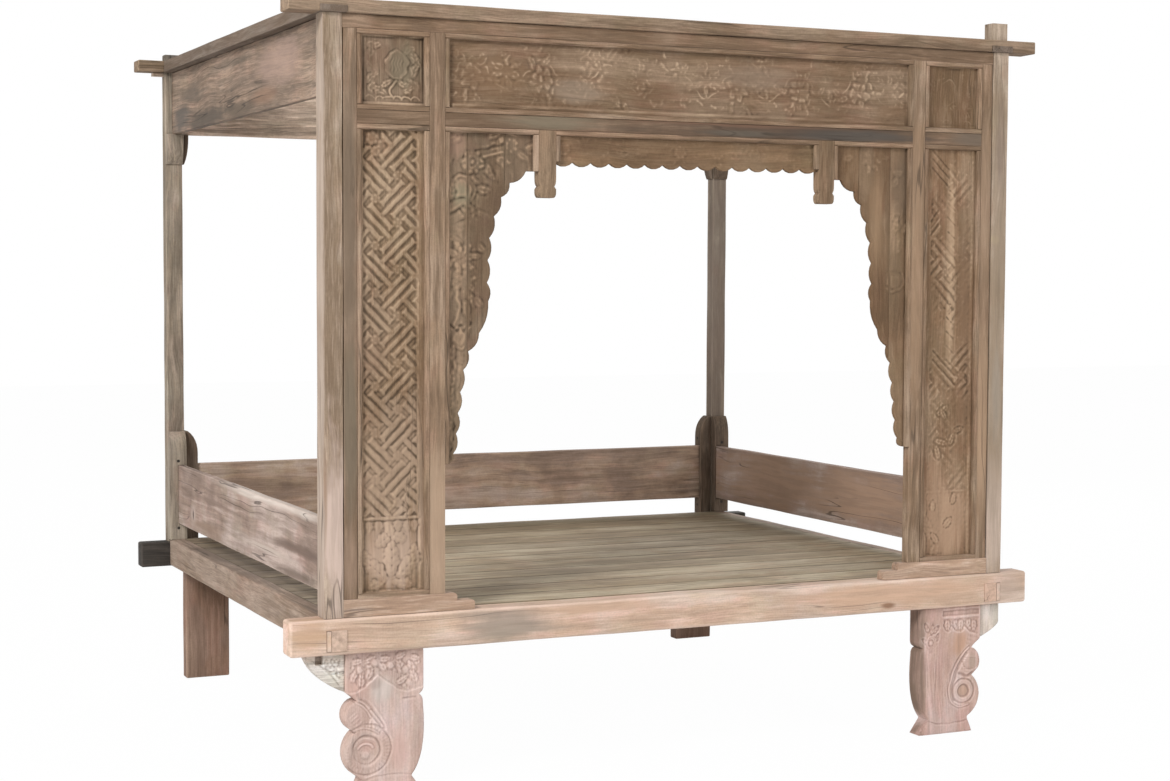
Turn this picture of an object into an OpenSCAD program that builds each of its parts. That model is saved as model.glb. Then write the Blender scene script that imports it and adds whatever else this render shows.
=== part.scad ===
// Carved teak canopy bed: a platform on carved front legs and plain rear legs, four posts that
// stand on its beams, top rails halved over the posts, boards under the rails, guard boards
// round the deck, and a framed and carved screen across the front.
// Origin: middle of the bed on the floor. +X is to the right seen from the front, -Y is the front.

/* [Overall] */
// Width over the outer faces of the corner posts
frame_w = 2220; // [2000:10:2600]
// Depth from the front face of the front posts to the back face of the rear posts
frame_d = 1863; // [1700:1:2200]
// Height of the deck and of the beam tops above the floor
deck_h = 500; // [480:5:600]
// Height of the underside of the top rails above the floor
frame_h = 2125; // [1950:5:2300]
// Gap all round a tenon in its mortise, and between a panel and its groove
fit_gap = 0.3; // [0.2:0.1:0.5]

/* [Posts] */
// Width of a front post along X
front_post_w = 56; // [50:1:70]
// Depth of a front post along Y
front_post_d = 60; // [50:1:70]
// Width of a rear post along X
rear_post_w = 60; // [50:1:70]
// Depth of a rear post along Y
rear_post_d = 47; // [44:1:60]
// Height by which a front post's top tenon stands above the rails
front_stub_h = 52; // [20:1:70]
// Height by which a rear post's top tenon stands above the rails
rear_stub_h = 24; // [10:1:60]
// Shoulder of a post's top tenon, before and behind it
stub_shoulder = 9; // [6:1:12]
// Length of the tenon at the foot of a post
foot_tenon_l = 18; // [12:1:18]
// Shoulder all round the tenon at the foot of a post
foot_shoulder = 12; // [8:1:14]

/* [Beams] */
// Distance by which the beams' ends pass the posts' outer faces
beam_over = 96; // [40:1:200]
// Depth of the front beam along Y
front_beam_d = 75; // [72:1:90]
// Height of the front beam
front_beam_h = 101; // [98:1:112]
// Depth of the rear beam along Y
rear_beam_d = 60; // [58:1:80]
// Height of the rear beam
rear_beam_h = 87; // [86:1:110]
// Distance by which the rear beam's top lies below the deck
rear_beam_drop = 10; // [0:1:10]
// Distance by which the beams' faces stand out from the posts' faces
beam_proud = 5; // [0:1:8]
// Width of a side beam along X
side_beam_w = 66; // [62:1:80]
// Height of a side beam
side_beam_h = 96; // [92:1:100]
// Distance of a side beam's outer face inside the posts' outer faces
side_beam_in = 4; // [0:1:10]
// Width of a side beam's through tenon
side_tenon_w = 44; // [36:1:46]
// Height of a side beam's through tenon
side_tenon_h = 58; // [40:1:58]
// Height of the tenon's underside above the side beam's underside
side_tenon_rise = 6; // [4:1:8]
// Shoulder of the tenon on the side beam's inner side
side_tenon_in = 6; // [4:1:8]
// Distance by which a tenon's end stands out from the beam's face
tenon_proud = 2; // [0:1:6]
// Thickness of a tenon wedge at its head
wedge_t = 14; // [10:1:15]
// Thickness of a tenon wedge at its thin end
wedge_tip = 6; // [4:1:8]

/* [Deck] */
// Number of deck planks
plank_n = 12; // [8:1:16]
// Thickness of the deck planks
plank_t = 22; // [16:1:28]
// Gap between two deck planks
plank_gap = 2; // [1:0.5:4]
// Width of the rebate in the side beams that carries the planks' ends
rebate_w = 18; // [12:1:30]
// Width of a bearer under the deck
bearer_w = 60; // [40:1:90]
// Height of a bearer under the deck
bearer_h = 68; // [40:1:68]
// Distance between the bearers' middles
bearer_pitch = 520; // [400:10:560]
// Length of a bearer's tenons
bearer_tenon_l = 24; // [12:1:30]
// Shoulder above and below a bearer's tenons
bearer_shoulder = 16; // [10:1:18]

/* [Front legs] */
// Distance of a front leg's outer side inside the posts' outer faces
leg_in = 65; // [55:1:90]
// Width of a front leg's top block
leg_w = 226; // [210:1:240]
// Thickness of a front leg along Y
leg_t = 58; // [50:1:60]
// Distance of a front leg's face behind the posts' face
leg_set = 11; // [6:1:11]
// Height of the splayed foot
foot_h = 46; // [40:1:56]
// Radius of the large scroll on a leg's outer side
scroll_r = 77; // [70:1:80]
// Height of the large scroll's middle
scroll_z = 118; // [112:1:122]
// Radius of the small knob above the scroll
knob_r = 46; // [40:1:48]
// Height of the small knob's middle
knob_z = 222; // [216:1:228]
// Width of a leg's tenon
leg_tenon_w = 110; // [80:1:130]
// Thickness of a leg's tenon
leg_tenon_t = 24; // [18:1:28]
// Length of a leg's tenon
leg_tenon_l = 40; // [25:1:50]

/* [Ear brackets] */
// Thickness of an ear bracket along Y
ear_t = 38; // [30:1:45]
// Distance of an ear bracket's face behind its leg's face
ear_set = 9; // [4:1:12]
// Reach of the left ear bracket from its leg
left_ear_w = 112; // [90:1:130]
// Height of the left bracket's nose
left_ear_nose = 8; // [4:1:30]
// Reach of the right ear bracket from its leg
right_ear_w = 75; // [60:1:100]
// Height of the right bracket's nose
right_ear_nose = 62; // [30:1:70]
// Height of both ear brackets at the leg
ear_h = 107; // [95:1:110]
// Width of the old mortise in the left ear bracket
ear_slot_w = 22; // [14:1:28]
// Height of the old mortise in the left ear bracket
ear_slot_h = 27; // [14:1:30]
// Depth of the old mortise in the left ear bracket
ear_slot_d = 20; // [10:1:28]
// Distance of the old mortise from the left bracket's end
ear_slot_in = 28; // [20:1:34]

/* [Rear legs] */
// Distance of a rear leg's outer side inside the posts' outer faces
rear_leg_in = 60; // [50:1:120]
// Width of a rear leg
rear_leg_w = 155; // [130:1:200]
// Thickness of a rear leg along Y
rear_leg_t = 52; // [44:1:56]

/* [Top rails] */
// Distance by which the front and rear rails' ends pass the posts' outer faces
rail_over = 95.5; // [40:0.5:200]
// Width of the top rails
rail_w = 76; // [74:1:90]
// Thickness of the top rails
rail_t = 39; // [30:1:50]
// Distance by which a rail stands out from the posts' faces
rail_proud = 8; // [4:1:10]
// Distance by which a side rail's end stands out from the front rail's face
rail_end_proud = 4; // [0:1:8]

/* [Boards under the rails] */
// Height of the boards under the top rails
canopy_h = 212; // [150:1:300]
// Thickness of the boards under the top rails
canopy_t = 24; // [18:1:30]
// Distance of a side board's outer face inside the posts' outer faces
canopy_in = 25; // [18:1:26]
// Length of the boards' tenons in the posts
canopy_tenon_l = 12; // [8:1:16]
// Shoulder above and below the boards' tenons
canopy_shoulder = 20; // [12:1:30]
// Height of the rear board's tongue that passes the posts
tongue_h = 12; // [8:1:20]
// Distance by which the tongue stands out beyond a post
tongue_out = 40; // [10:1:60]
// Height of a corbel under a board
corbel_h = 104; // [80:1:140]
// Depth of a corbel at its top
corbel_d = 22; // [16:1:34]
// Depth of a corbel at its foot
corbel_foot = 5; // [3:1:10]

/* [Guard boards] */
// Height of a guard board's underside above the deck
guard_gap = 54; // [30:1:120]
// Height of a guard board
guard_h = 207; // [160:1:260]
// Thickness of a guard board
guard_t = 25; // [20:1:28]
// Distance of a side guard board's outer face inside the posts' outer faces
guard_in = 30; // [24:1:30]
// Depth of the housings that hold a guard board's ends
guard_house = 10; // [6:1:14]
// Height of a cleat above the deck
cleat_h = 377; // [330:1:440]
// Height of the tapered part of a cleat
cleat_taper = 80; // [50:1:82]
// Thickness of a cleat on a rear post's front face
side_cleat_t = 34; // [28:1:45]
// Thickness of a cleat on a rear post's inner face
back_cleat_t = 48; // [34:1:60]
// Thickness of a cleat at its top
cleat_top = 12; // [8:1:20]
// Radius of the pegs that hold a cleat
peg_r = 5; // [4:0.5:6]
// Depth of the pegs in a post
peg_in = 22; // [16:1:30]
// Distance of a side cleat's pegs above and below the guard board
side_peg_off = 14; // [10:1:18]
// Distance of a back cleat's pegs above and below the guard board
back_peg_off = 28; // [26:1:30]

/* [Screen frame] */
// Thickness of the screen's frame
screen_t = 32; // [30:1:40]
// Distance of the screen's face behind the posts' face
screen_set = 2; // [0:1:10]
// Gap between an outer stile and its post
stile_gap = 2; // [0:0.5:4]
// Width of an outer stile
outer_stile_w = 39; // [34:1:58]
// Width of an inner stile
inner_stile_w = 46; // [40:1:60]
// Width between an outer and an inner stile
side_bay_w = 207; // [160:1:260]
// Height of the head rail
head_h = 38; // [34:1:60]
// Height of the openings above the middle rails
upper_bay_h = 214; // [160:1:260]
// Height of the middle rails
mid_h = 39; // [34:1:60]
// Height of a sill's lower step
sill_step_h = 27; // [20:1:32]
// Height of a sill
sill_h = 49; // [44:1:64]
// Distance by which a sill's upper step passes the inner stile
sill_top_out = 35; // [15:1:60]
// Distance by which a sill's lower step passes the inner stile
sill_low_out = 88; // [60:1:120]
// Radius of the rounded noses of a sill's steps
sill_nose = 10; // [4:1:14]
// Length of the tenons in the screen's frame
screen_tenon_l = 18; // [10:1:22]
// Shoulder beside the tenons in the screen's frame
screen_shoulder = 11; // [10:1:12]

/* [Screen panels] */
// Thickness of the panels
panel_t = 14; // [10:1:16]
// Distance of the panels' faces behind the frame's face
panel_set = 10; // [6:1:12]
// Depth of the grooves that hold the panels
groove_d = 8; // [5:1:8]
// Width of the bead round each panel
bead_w = 14; // [8:1:18]
// Distance by which the bead stands out from the frame's face
bead_proud = 1; // [0:0.5:3]

/* [Arch] */
// Distance of a pendant's outer side from the inner stile
pendant_in = 278; // [262:1:310]
// Width of a pendant
pendant_w = 54; // [44:1:64]
// Length of a pendant below the middle rail
pendant_l = 188; // [150:1:240]
// Height of the block at a pendant's foot
pendant_block = 32; // [24:1:40]
// Depth of the waist above the block
pendant_waist = 6; // [3:1:8]
// Height of the valance between the pendants
valance_h = 99; // [70:1:120]
// Number of scallops along the valance
valance_n = 15; // [9:1:21]
// Depth of the scallops along the valance
valance_sag = 13; // [8:1:18]
// Depth of the scallops along the side spandrels
scallop_sag = 9; // [5:1:12]
// Height of the spandrels below the middle rails
spandrel_h = 926; // [900:1:1050]
// Width of the open joint between two boards of a spandrel
board_gap = 0.6; // [0.4:0.1:1]

/* [Hidden] */

// Outer faces of the posts, front and back, and the ends of the beams and rails
x_post = frame_w / 2;
x_beam = x_post + beam_over;
x_rail = x_post + rail_over;
y_front = -frame_d / 2;
y_back = frame_d / 2;

// Front beam
y_fb0 = y_front - beam_proud;
y_fb1 = y_fb0 + front_beam_d;
z_fb0 = deck_h - front_beam_h;

// Rear beam
y_rb1 = y_back + beam_proud;
y_rb0 = y_rb1 - rear_beam_d;
z_rb1 = deck_h - rear_beam_drop;
z_rb0 = z_rb1 - rear_beam_h;

// Side beams, their tenons and wedges, for the right side
x_sb1 = x_post - side_beam_in;
x_sb0 = x_sb1 - side_beam_w;
z_sb0 = deck_h - side_beam_h;
x_tenon0 = x_sb0 + side_tenon_in;
x_tenon1 = x_tenon0 + side_tenon_w;
z_tenon0 = z_sb0 + side_tenon_rise;
z_tenon1 = z_tenon0 + side_tenon_h;

// Deck
z_plank0 = deck_h - plank_t;
z_bearer0 = z_plank0 - bearer_h;
x_plank = x_sb0 + rebate_w;
plank_pitch = (y_rb0 - y_fb1) / plank_n;

// Front legs, for the right side
x_leg1 = x_post - leg_in;
x_leg0 = x_leg1 - leg_w;
y_leg0 = y_front + leg_set;
x_leg = (x_leg0 + x_leg1) / 2;
y_leg = y_leg0 + leg_t / 2;
y_ear0 = y_leg0 + ear_set;

// Rear legs, for the right side
x_rleg1 = x_post - rear_leg_in;
x_rleg0 = x_rleg1 - rear_leg_w;
x_rleg = (x_rleg0 + x_rleg1) / 2;
y_rleg = y_rb0 + rear_leg_t / 2;

// Top rails
z_rail1 = frame_h + rail_t;
z_half = frame_h + rail_t / 2;
y_fr0 = y_front - rail_proud;
y_fr1 = y_fr0 + rail_w;
y_rr1 = y_back + rail_proud;
y_rr0 = y_rr1 - rail_w;
x_sr1 = x_post + rail_proud;
x_sr0 = x_sr1 - rail_w;

// Posts, for the right side
x_fp0 = x_post - front_post_w;
y_fp1 = y_front + front_post_d;
x_rp0 = x_post - rear_post_w;
y_rp0 = y_back - rear_post_d;

// Boards under the rails
z_canopy0 = frame_h - canopy_h;
x_canopy1 = x_post - canopy_in;
x_canopy0 = x_canopy1 - canopy_t;
y_rp = y_back - rear_post_d / 2;

// Guard boards and cleats
z_guard0 = deck_h + guard_gap;
z_guard1 = z_guard0 + guard_h;
x_guard1 = x_post - guard_in;
x_guard0 = x_guard1 - guard_t;
y_side_cleat = y_rp0 - side_cleat_t;
x_back_cleat = x_rp0 - back_cleat_t;

// Screen: faces, rails and stiles, for the right side
y_s0 = y_front + screen_set;
y_s1 = y_s0 + screen_t;
y_mid = (y_s0 + y_s1) / 2;
x_os1 = x_fp0 - stile_gap;
x_os0 = x_os1 - outer_stile_w;
x_is1 = x_os0 - side_bay_w;
x_is0 = x_is1 - inner_stile_w;
z_sill = deck_h + sill_h;
z_head = frame_h - head_h;
z_mid1 = z_head - upper_bay_h;
z_mid0 = z_mid1 - mid_h;
y_panel0 = y_s0 + panel_set;
y_panel1 = y_panel0 + panel_t;

// Arch: scallop cusps of a spandrel, in from the inner stile and below the middle rail, and
// the joints between its boards
arch_cusps = [[245, 115], [196, 149], [170, 189], [149, 242], [135, 302], [130, 364],
    [128, 426], [132, 478], [105, 566], [73, 616], [58, 668], [49, 729], [42, 787], [37, 844],
    [29, 899]];
board_joints = [182, 70];
x_pend1 = x_is0 - pendant_in;
x_pend0 = x_pend1 - pendant_w;
pendant_x = (x_pend0 + x_pend1) / 2;
z_arch = z_mid0 - arch_cusps[0][1];
z_spandrel0 = z_mid0 - spandrel_h;
z_valance0 = z_mid0 - valance_h;
bead_d = panel_set + bead_proud;
bead_r = 6;
screen_tenon_t = 10;

// Distance by which a cut passes a face, and steps along a scallop
over = 1;
edge_n = 5;

// A box between two corners
module box(lo, hi) {
    translate(lo) cube(hi - lo);
}

// A tenon or tongue as the piece that has it draws it, or the room for it, which has the
// fit's gap all round
module fit(lo, hi) {
    g = $cut ? fit_gap : 0;
    box(lo - [g, g, g], hi + [g, g, g]);
}

module own() {
    $cut = false;
    children();
}

module cut() {
    $cut = true;
    children();
}

// A piece made for the right side, or mirrored to the left
module on_side(s) {
    if (s < 0) mirror([1, 0, 0]) children();
    else children();
}

module both_sides() {
    children();
    mirror([1, 0, 0]) children();
}

// An outline in X and Z made solid from y0 to y1
module plate_y(y0, y1) {
    translate([0, y1, 0]) rotate([90, 0, 0]) linear_extrude(y1 - y0) children();
}

// An outline in Y and Z made solid from x0 to x1
module plate_x(x0, x1) {
    translate([x0, 0, 0]) rotate([90, 0, 90]) linear_extrude(x1 - x0) children();
}

// Points of an arc about c, from angle a0 to a1
function arc(c, r, a0, a1, n) = [for (i = [0:n])
    let (a = a0 + (a1 - a0) * i / n) c + r * [cos(a), sin(a)]];

// Points of a curve from a to b that leans towards c
function curve(a, c, b, n) = [for (i = [0:n])
    let (t = i / n) (1 - t) * (1 - t) * a + 2 * t * (1 - t) * c + t * t * b];

// A list of points without its first one
function rest(points) = [for (i = [1:len(points) - 1]) points[i]];

// Points of a scallop from a to b that bulges by sag to the right of that line
function scallop(a, b, sag) = let (n = [b[1] - a[1], a[0] - b[0]] / norm(b - a))
    curve(a, (a + b) / 2 + 2 * sag * n, b, edge_n);

// Joints of the base, for the right side
module side_tenon(rear) {
    y0 = rear ? y_rb0 : y_fb0 - tenon_proud;
    y1 = rear ? y_rb1 + tenon_proud : y_fb1;
    fit([x_tenon0, y0, z_tenon0], [x_tenon1 + ($cut ? wedge_t : 0), y1, z_tenon1]);
}

module foot_tenon(rear) {
    s = foot_shoulder;
    z1 = rear ? z_rb1 : deck_h;
    lo = [(rear ? x_rp0 : x_fp0) + s, (rear ? y_rp0 : y_front) + s, z1 - foot_tenon_l];
    fit(lo, [x_post - s, (rear ? y_back : y_fp1) - s, z1]);
}

module leg_tenon(rear) {
    mid = rear ? [x_rleg, y_rleg, z_rb0] : [x_leg, y_leg, z_fb0];
    half = [leg_tenon_w, leg_tenon_t, 0] / 2;
    fit(mid - half, mid + half + [0, 0, leg_tenon_l]);
}

module bearer_tenons() {
    for (i = [-1:1]) {
        x = i * bearer_pitch;
        lo = [x - bearer_w / 2, y_fb1 - bearer_tenon_l, z_bearer0 + bearer_shoulder];
        fit(lo, [x + bearer_w / 2, y_rb0 + bearer_tenon_l, z_plank0 - bearer_shoulder]);
    }
}

// Joints of the posts with the rails and boards, for the right side
module top_tenon(rear) {
    s = stub_shoulder;
    z1 = z_rail1 + (rear ? rear_stub_h : front_stub_h);
    lo = [rear ? x_rp0 : x_fp0, (rear ? y_rp0 : y_front) + s, frame_h];
    fit(lo, [x_post, (rear ? y_back : y_fp1) - s, z1]);
}

module side_canopy_tenons() {
    lo = [x_canopy0, y_fp1 - canopy_tenon_l, z_canopy0 + canopy_shoulder];
    fit(lo, [x_canopy1, y_rp0 + canopy_tenon_l, frame_h - canopy_shoulder]);
}

module rear_canopy_tenon() {
    lo = [x_rp0, y_rp - canopy_t / 2, z_canopy0 + canopy_shoulder];
    top = frame_h - tongue_h - canopy_shoulder;
    fit(lo, [x_rp0 + canopy_tenon_l, y_rp + canopy_t / 2, top]);
    lo_tongue = [x_rp0, y_rp - canopy_t / 2, frame_h - tongue_h];
    fit(lo_tongue, [x_post + tongue_out, y_rp + canopy_t / 2, frame_h]);
}

module side_guard_ends() {
    lo = [x_guard0, y_fp1 - guard_house, z_guard0];
    fit(lo, [x_guard1, y_side_cleat + guard_house, z_guard1]);
}

module back_guard_end() {
    lo = [x_back_cleat, y_rp - guard_t / 2, z_guard0];
    fit(lo, [x_back_cleat + guard_house, y_rp + guard_t / 2, z_guard1]);
}

// The pegs of the right side's two cleats
module pegs() {
    g = $cut ? fit_gap : 0;
    for (z = [z_guard0 - side_peg_off, z_guard1 + side_peg_off])
        translate([(x_rp0 + x_post) / 2, y_rp0 + peg_in, z]) rotate([90, 0, 0])
            cylinder(h = side_cleat_t + peg_in + g, r = peg_r + g, $fn = 32);
    for (z = [z_guard0 - back_peg_off, z_guard1 + back_peg_off])
        translate([x_back_cleat - g, y_rp, z]) rotate([0, 90, 0])
            cylinder(h = back_cleat_t + peg_in + g, r = peg_r + g, $fn = 32);
}

// Joints of the screen, for the right side
module stile_tenons(x0, x1) {
    s = screen_shoulder;
    lo = [x0 + s, y_mid - screen_tenon_t / 2, z_sill - screen_tenon_l];
    fit(lo, [x1 - s, y_mid + screen_tenon_t / 2, z_head + screen_tenon_l]);
}

module rail_tenons(x0, x1) {
    s = screen_shoulder;
    lo = [x0 - screen_tenon_l, y_mid - screen_tenon_t / 2, z_mid0 + s];
    fit(lo, [x1 + screen_tenon_l, y_mid + screen_tenon_t / 2, z_mid1 - s]);
}

module pendant_tenon() {
    s = screen_shoulder;
    lo = [x_pend0 + s, y_mid - screen_tenon_t / 2, z_mid0];
    fit(lo, [x_pend1 - s, y_mid + screen_tenon_t / 2, z_mid0 + screen_tenon_l]);
}

// A panel between the edges of its opening, with its edges in the grooves
module panel(x0, x1, z0, z1) {
    lo = [x0 - groove_d, y_panel0, z0 - groove_d];
    fit(lo, [x1 + groove_d, y_panel1, z1 + groove_d]);
}

module small_panel() {
    panel(x_is1, x_os0, z_mid1, z_head);
}

module long_panel() {
    panel(x_is1, x_os0, z_sill, z_mid0);
}

module frieze() {
    panel(-x_is0, x_is0, z_mid1, z_head);
}

// The grooves of the right spandrel and of the valance
module arch_grooves() {
    panel(x_is0 - groove_d, x_is0, z_spandrel0 + groove_d, z_mid0);
    panel(x_pend1, x_is0, z_mid0, z_mid0);
    panel(x_pend1, x_pend1, z_arch + groove_d, z_mid0);
    panel(-x_pend0, x_pend0, z_mid0, z_mid0);
    panel(x_pend0, x_pend0, z_valance0 + valance_sag + groove_d, z_mid0);
}

// Beams and their wedges
module front_beam() {
    color("#c9a88f") cut() difference() {
        box([-x_beam, y_fb0, z_fb0], [x_beam, y_fb1, deck_h]);
        both_sides() {
            side_tenon(false);
            foot_tenon(false);
            leg_tenon(false);
        }
        bearer_tenons();
    }
}

module rear_beam() {
    color("#6f6157") cut() difference() {
        box([-x_beam, y_rb0, z_rb0], [x_beam, y_rb1, z_rb1]);
        both_sides() {
            side_tenon(true);
            foot_tenon(true);
            leg_tenon(true);
        }
        bearer_tenons();
    }
}

module side_beam() {
    difference() {
        union() {
            box([x_sb0, y_fb1, z_sb0], [x_sb1, y_rb0, deck_h]);
            own() side_tenon(false);
            own() side_tenon(true);
        }
        box([0, y_fb1 - over, z_plank0], [x_plank + fit_gap, y_rb0 + over, deck_h + over]);
    }
}

module left_side_beam() {
    color("#b79f8c") on_side(-1) side_beam();
}

module right_side_beam() {
    color("#b79f8c") side_beam();
}

// A wedge beside each side tenon, driven in from the beam's outer face
module wedge(y_head, y_tip) {
    g = fit_gap;
    translate([x_tenon1 + wedge_t, 0, z_tenon0 + g]) linear_extrude(side_tenon_h - 2 * g)
        polygon([[0, y_head], [g - wedge_t, y_head], [g - wedge_tip, y_tip], [0, y_tip]]);
}

module tenon_wedges() {
    color("#a88b72") both_sides() {
        wedge(y_fb0 - tenon_proud, y_fb1);
        wedge(y_rb1 + tenon_proud, y_rb0);
    }
}

// Deck
module deck_planks() {
    color("#8f8571") for (i = [0:plank_n - 1]) {
        y = y_fb1 + i * plank_pitch;
        box([-x_plank, y + plank_gap / 2, z_plank0],
            [x_plank, y + plank_pitch - plank_gap / 2, deck_h]);
    }
}

module deck_bearers() {
    color("#857564") {
        for (i = [-1:1])
            box([i * bearer_pitch - bearer_w / 2, y_fb1, z_bearer0],
                [i * bearer_pitch + bearer_w / 2, y_rb0, z_plank0]);
        own() bearer_tenons();
    }
}

// Outline of the right front leg in X and Z: top block, neck, knob, scroll and splayed foot
module leg_outline() {
    z_block = z_fb0 - ear_h;
    knob = [x_leg1 - 45, knob_z];
    scroll = [x_leg1 - 78, scroll_z];
    d = norm(knob - scroll);
    along = (scroll_r * scroll_r - knob_r * knob_r + d * d) / (2 * d);
    dir = (knob - scroll) / d;
    cusp = scroll + along * dir + sqrt(scroll_r * scroll_r - along * along) * [dir[1], -dir[0]];
    neck = [x_leg1 - 33, knob_z + 44];
    to_cusp = cusp - knob;
    from_cusp = cusp - scroll;
    polygon(concat(
        [[x_leg0, z_fb0], [x_leg1, z_fb0]],
        curve([x_leg1, z_block], [x_leg1 - 20, z_block - 14], neck, 4),
        rest(arc(knob, knob_r, 75, atan2(to_cusp[1], to_cusp[0]), 10)),
        rest(arc(scroll, scroll_r, atan2(from_cusp[1], from_cusp[0]), -66, 12)),
        [[x_leg1 - 27, 0], [x_leg0 + 3, 0]],
        curve([x_leg0 + 36, foot_h], [x_leg0 - 6, foot_h + 50], [x_leg0, knob_z - 5], 8),
        curve([x_leg0 + 3, knob_z + 36], [x_leg0 + 7, knob_z + 48], [x_leg0 + 15, knob_z + 50], 3),
        curve([x_leg0 + 7, knob_z + 55], [x_leg0, knob_z + 60], [x_leg0, knob_z + 72], 3)));
}

module front_leg() {
    plate_y(y_leg0, y_leg0 + leg_t) leg_outline();
    own() leg_tenon(false);
}

module left_front_leg() {
    color("#c79f94") on_side(-1) front_leg();
}

module right_front_leg() {
    color("#c79f94") front_leg();
}

module rear_leg() {
    box([x_rleg0, y_rb0, 0], [x_rleg1, y_rb0 + rear_leg_t, z_rb0]);
    own() leg_tenon(true);
}

module left_rear_leg() {
    color("#8a7468") on_side(-1) rear_leg();
}

module right_rear_leg() {
    color("#8a7468") rear_leg();
}

// An ear bracket between the leg's side and the beam, its lower edge curved to the leg
module ear(reach, nose, lean) {
    plate_y(y_ear0, y_ear0 + ear_t) polygon(concat(
        [[x_leg1, z_fb0], [x_leg1 + reach, z_fb0]],
        curve([x_leg1 + reach, z_fb0 - nose], [x_leg1 + reach - lean[0], z_fb0 - lean[1]],
            [x_leg1, z_fb0 - ear_h], 8)));
}

module left_ear_bracket() {
    x = x_leg1 + left_ear_w - ear_slot_in;
    color("#b3aaa0") on_side(-1) difference() {
        ear(left_ear_w, left_ear_nose, [26, 72]);
        box([x - ear_slot_w, y_ear0 - over, z_fb0 - ear_slot_h],
            [x, y_ear0 + ear_slot_d, z_fb0 + over]);
    }
}

module right_ear_bracket() {
    color("#c9bfb3") ear(right_ear_w, right_ear_nose, [14, 82]);
}

// Posts
module front_post() {
    difference() {
        union() {
            box([x_fp0, y_front, deck_h], [x_post, y_fp1, frame_h]);
            own() foot_tenon(false);
            own() top_tenon(false);
        }
        cut() side_canopy_tenons();
        cut() side_guard_ends();
    }
}

module left_front_post() {
    color("#cbbcab") on_side(-1) front_post();
}

module right_front_post() {
    color("#b7a491") front_post();
}

module rear_post() {
    difference() {
        union() {
            box([x_rp0, y_rp0, z_rb1], [x_post, y_back, frame_h]);
            own() foot_tenon(true);
            own() top_tenon(true);
        }
        cut() side_canopy_tenons();
        cut() rear_canopy_tenon();
        cut() pegs();
    }
}

module left_rear_post() {
    color("#a1948a") on_side(-1) rear_post();
}

module right_rear_post() {
    color("#85786c") rear_post();
}

// Top rails, halved over each other round the posts' tenons
module cross_rail(y0, y1, rear) {
    difference() {
        box([-x_rail, y0, frame_h], [x_rail, y1, z_rail1]);
        cut() both_sides() {
            box([x_sr0 - fit_gap, y0 - over, frame_h - over],
                [x_sr1 + fit_gap, y1 + over, z_half]);
            top_tenon(rear);
        }
    }
}

module front_top_rail() {
    color("#9a8674") cross_rail(y_fr0, y_fr1, false);
}

module rear_top_rail() {
    color("#8f8278") cross_rail(y_rr0, y_rr1, true);
}

module side_rail() {
    y0 = y_fr0 - rail_end_proud;
    y1 = y_rr1 + rail_end_proud;
    difference() {
        box([x_sr0, y0, frame_h], [x_sr1, y1, z_rail1]);
        box([x_sr0 - over, y0 - over, z_half], [x_sr1 + over, y_fr1 + fit_gap, z_rail1 + over]);
        box([x_sr0 - over, y_rr0 - fit_gap, z_half], [x_sr1 + over, y1 + over, z_rail1 + over]);
        cut() top_tenon(false);
        cut() top_tenon(true);
    }
}

module left_top_rail() {
    color("#8c7d6d") on_side(-1) side_rail();
}

module right_top_rail() {
    color("#8c7d6d") side_rail();
}

// Boards under the rails, and the corbels under their rear ends
module side_canopy_board() {
    box([x_canopy0, y_fp1, z_canopy0], [x_canopy1, y_rp0, frame_h]);
    own() side_canopy_tenons();
}

module left_canopy_board() {
    color("#9f8878") on_side(-1) side_canopy_board();
}

module right_canopy_board() {
    color("#9f8878") side_canopy_board();
}

module rear_canopy_board() {
    color("#7d6a54") {
        box([-x_rp0, y_rp - canopy_t / 2, z_canopy0], [x_rp0, y_rp + canopy_t / 2, frame_h]);
        own() both_sides() rear_canopy_tenon();
    }
}

// Outline of a corbel against a post's face at 0, facing towards -X
module corbel_outline() {
    z0 = z_canopy0 - corbel_h;
    polygon(concat([[0, z_canopy0], [0, z0]],
        curve([-corbel_foot, z0], [-corbel_d, z0 + corbel_h / 3], [-corbel_d, z_canopy0], 8)));
}

module side_corbel() {
    plate_x(x_rp0, x_post) translate([y_rp0, 0]) corbel_outline();
}

module back_corbel() {
    plate_y(y_rp0, y_back) translate([x_rp0, 0]) corbel_outline();
}

module left_side_corbel() {
    color("#a8998c") on_side(-1) side_corbel();
}

module right_side_corbel() {
    color("#8d7d6e") side_corbel();
}

module left_back_corbel() {
    color("#6d5d4e") on_side(-1) back_corbel();
}

module right_back_corbel() {
    color("#6d5d4e") back_corbel();
}

// Guard boards, and the cleats that hold their ends on the rear posts
module side_guard_board() {
    own() side_guard_ends();
}

module left_guard_board() {
    color("#ad9a88") on_side(-1) side_guard_board();
}

module right_guard_board() {
    color("#8b6f5b") side_guard_board();
}

module back_guard_board() {
    color("#93806f") {
        box([-x_back_cleat, y_rp - guard_t / 2, z_guard0],
            [x_back_cleat, y_rp + guard_t / 2, z_guard1]);
        own() both_sides() back_guard_end();
    }
}

// Outline of a cleat against a post's face at 0, facing towards -X
module cleat_outline(t, z0) {
    z1 = deck_h + cleat_h;
    polygon(concat([[0, z1], [0, z0], [-t, z0]],
        curve([-t, z1 - cleat_taper], [-t, z1 - cleat_taper / 3], [-cleat_top, z1], 6)));
}

module side_cleat() {
    difference() {
        plate_x(x_rp0, x_post) translate([y_rp0, 0]) cleat_outline(side_cleat_t, deck_h);
        cut() side_guard_ends();
        cut() pegs();
    }
}

module back_cleat() {
    difference() {
        plate_y(y_rp0, y_back) translate([x_rp0, 0]) cleat_outline(back_cleat_t, z_rb1);
        cut() back_guard_end();
        cut() pegs();
    }
}

module left_side_cleat() {
    color("#a5978a") on_side(-1) side_cleat();
}

module right_side_cleat() {
    color("#7c6d60") side_cleat();
}

module left_back_cleat() {
    color("#5f5347") on_side(-1) back_cleat();
}

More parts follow.
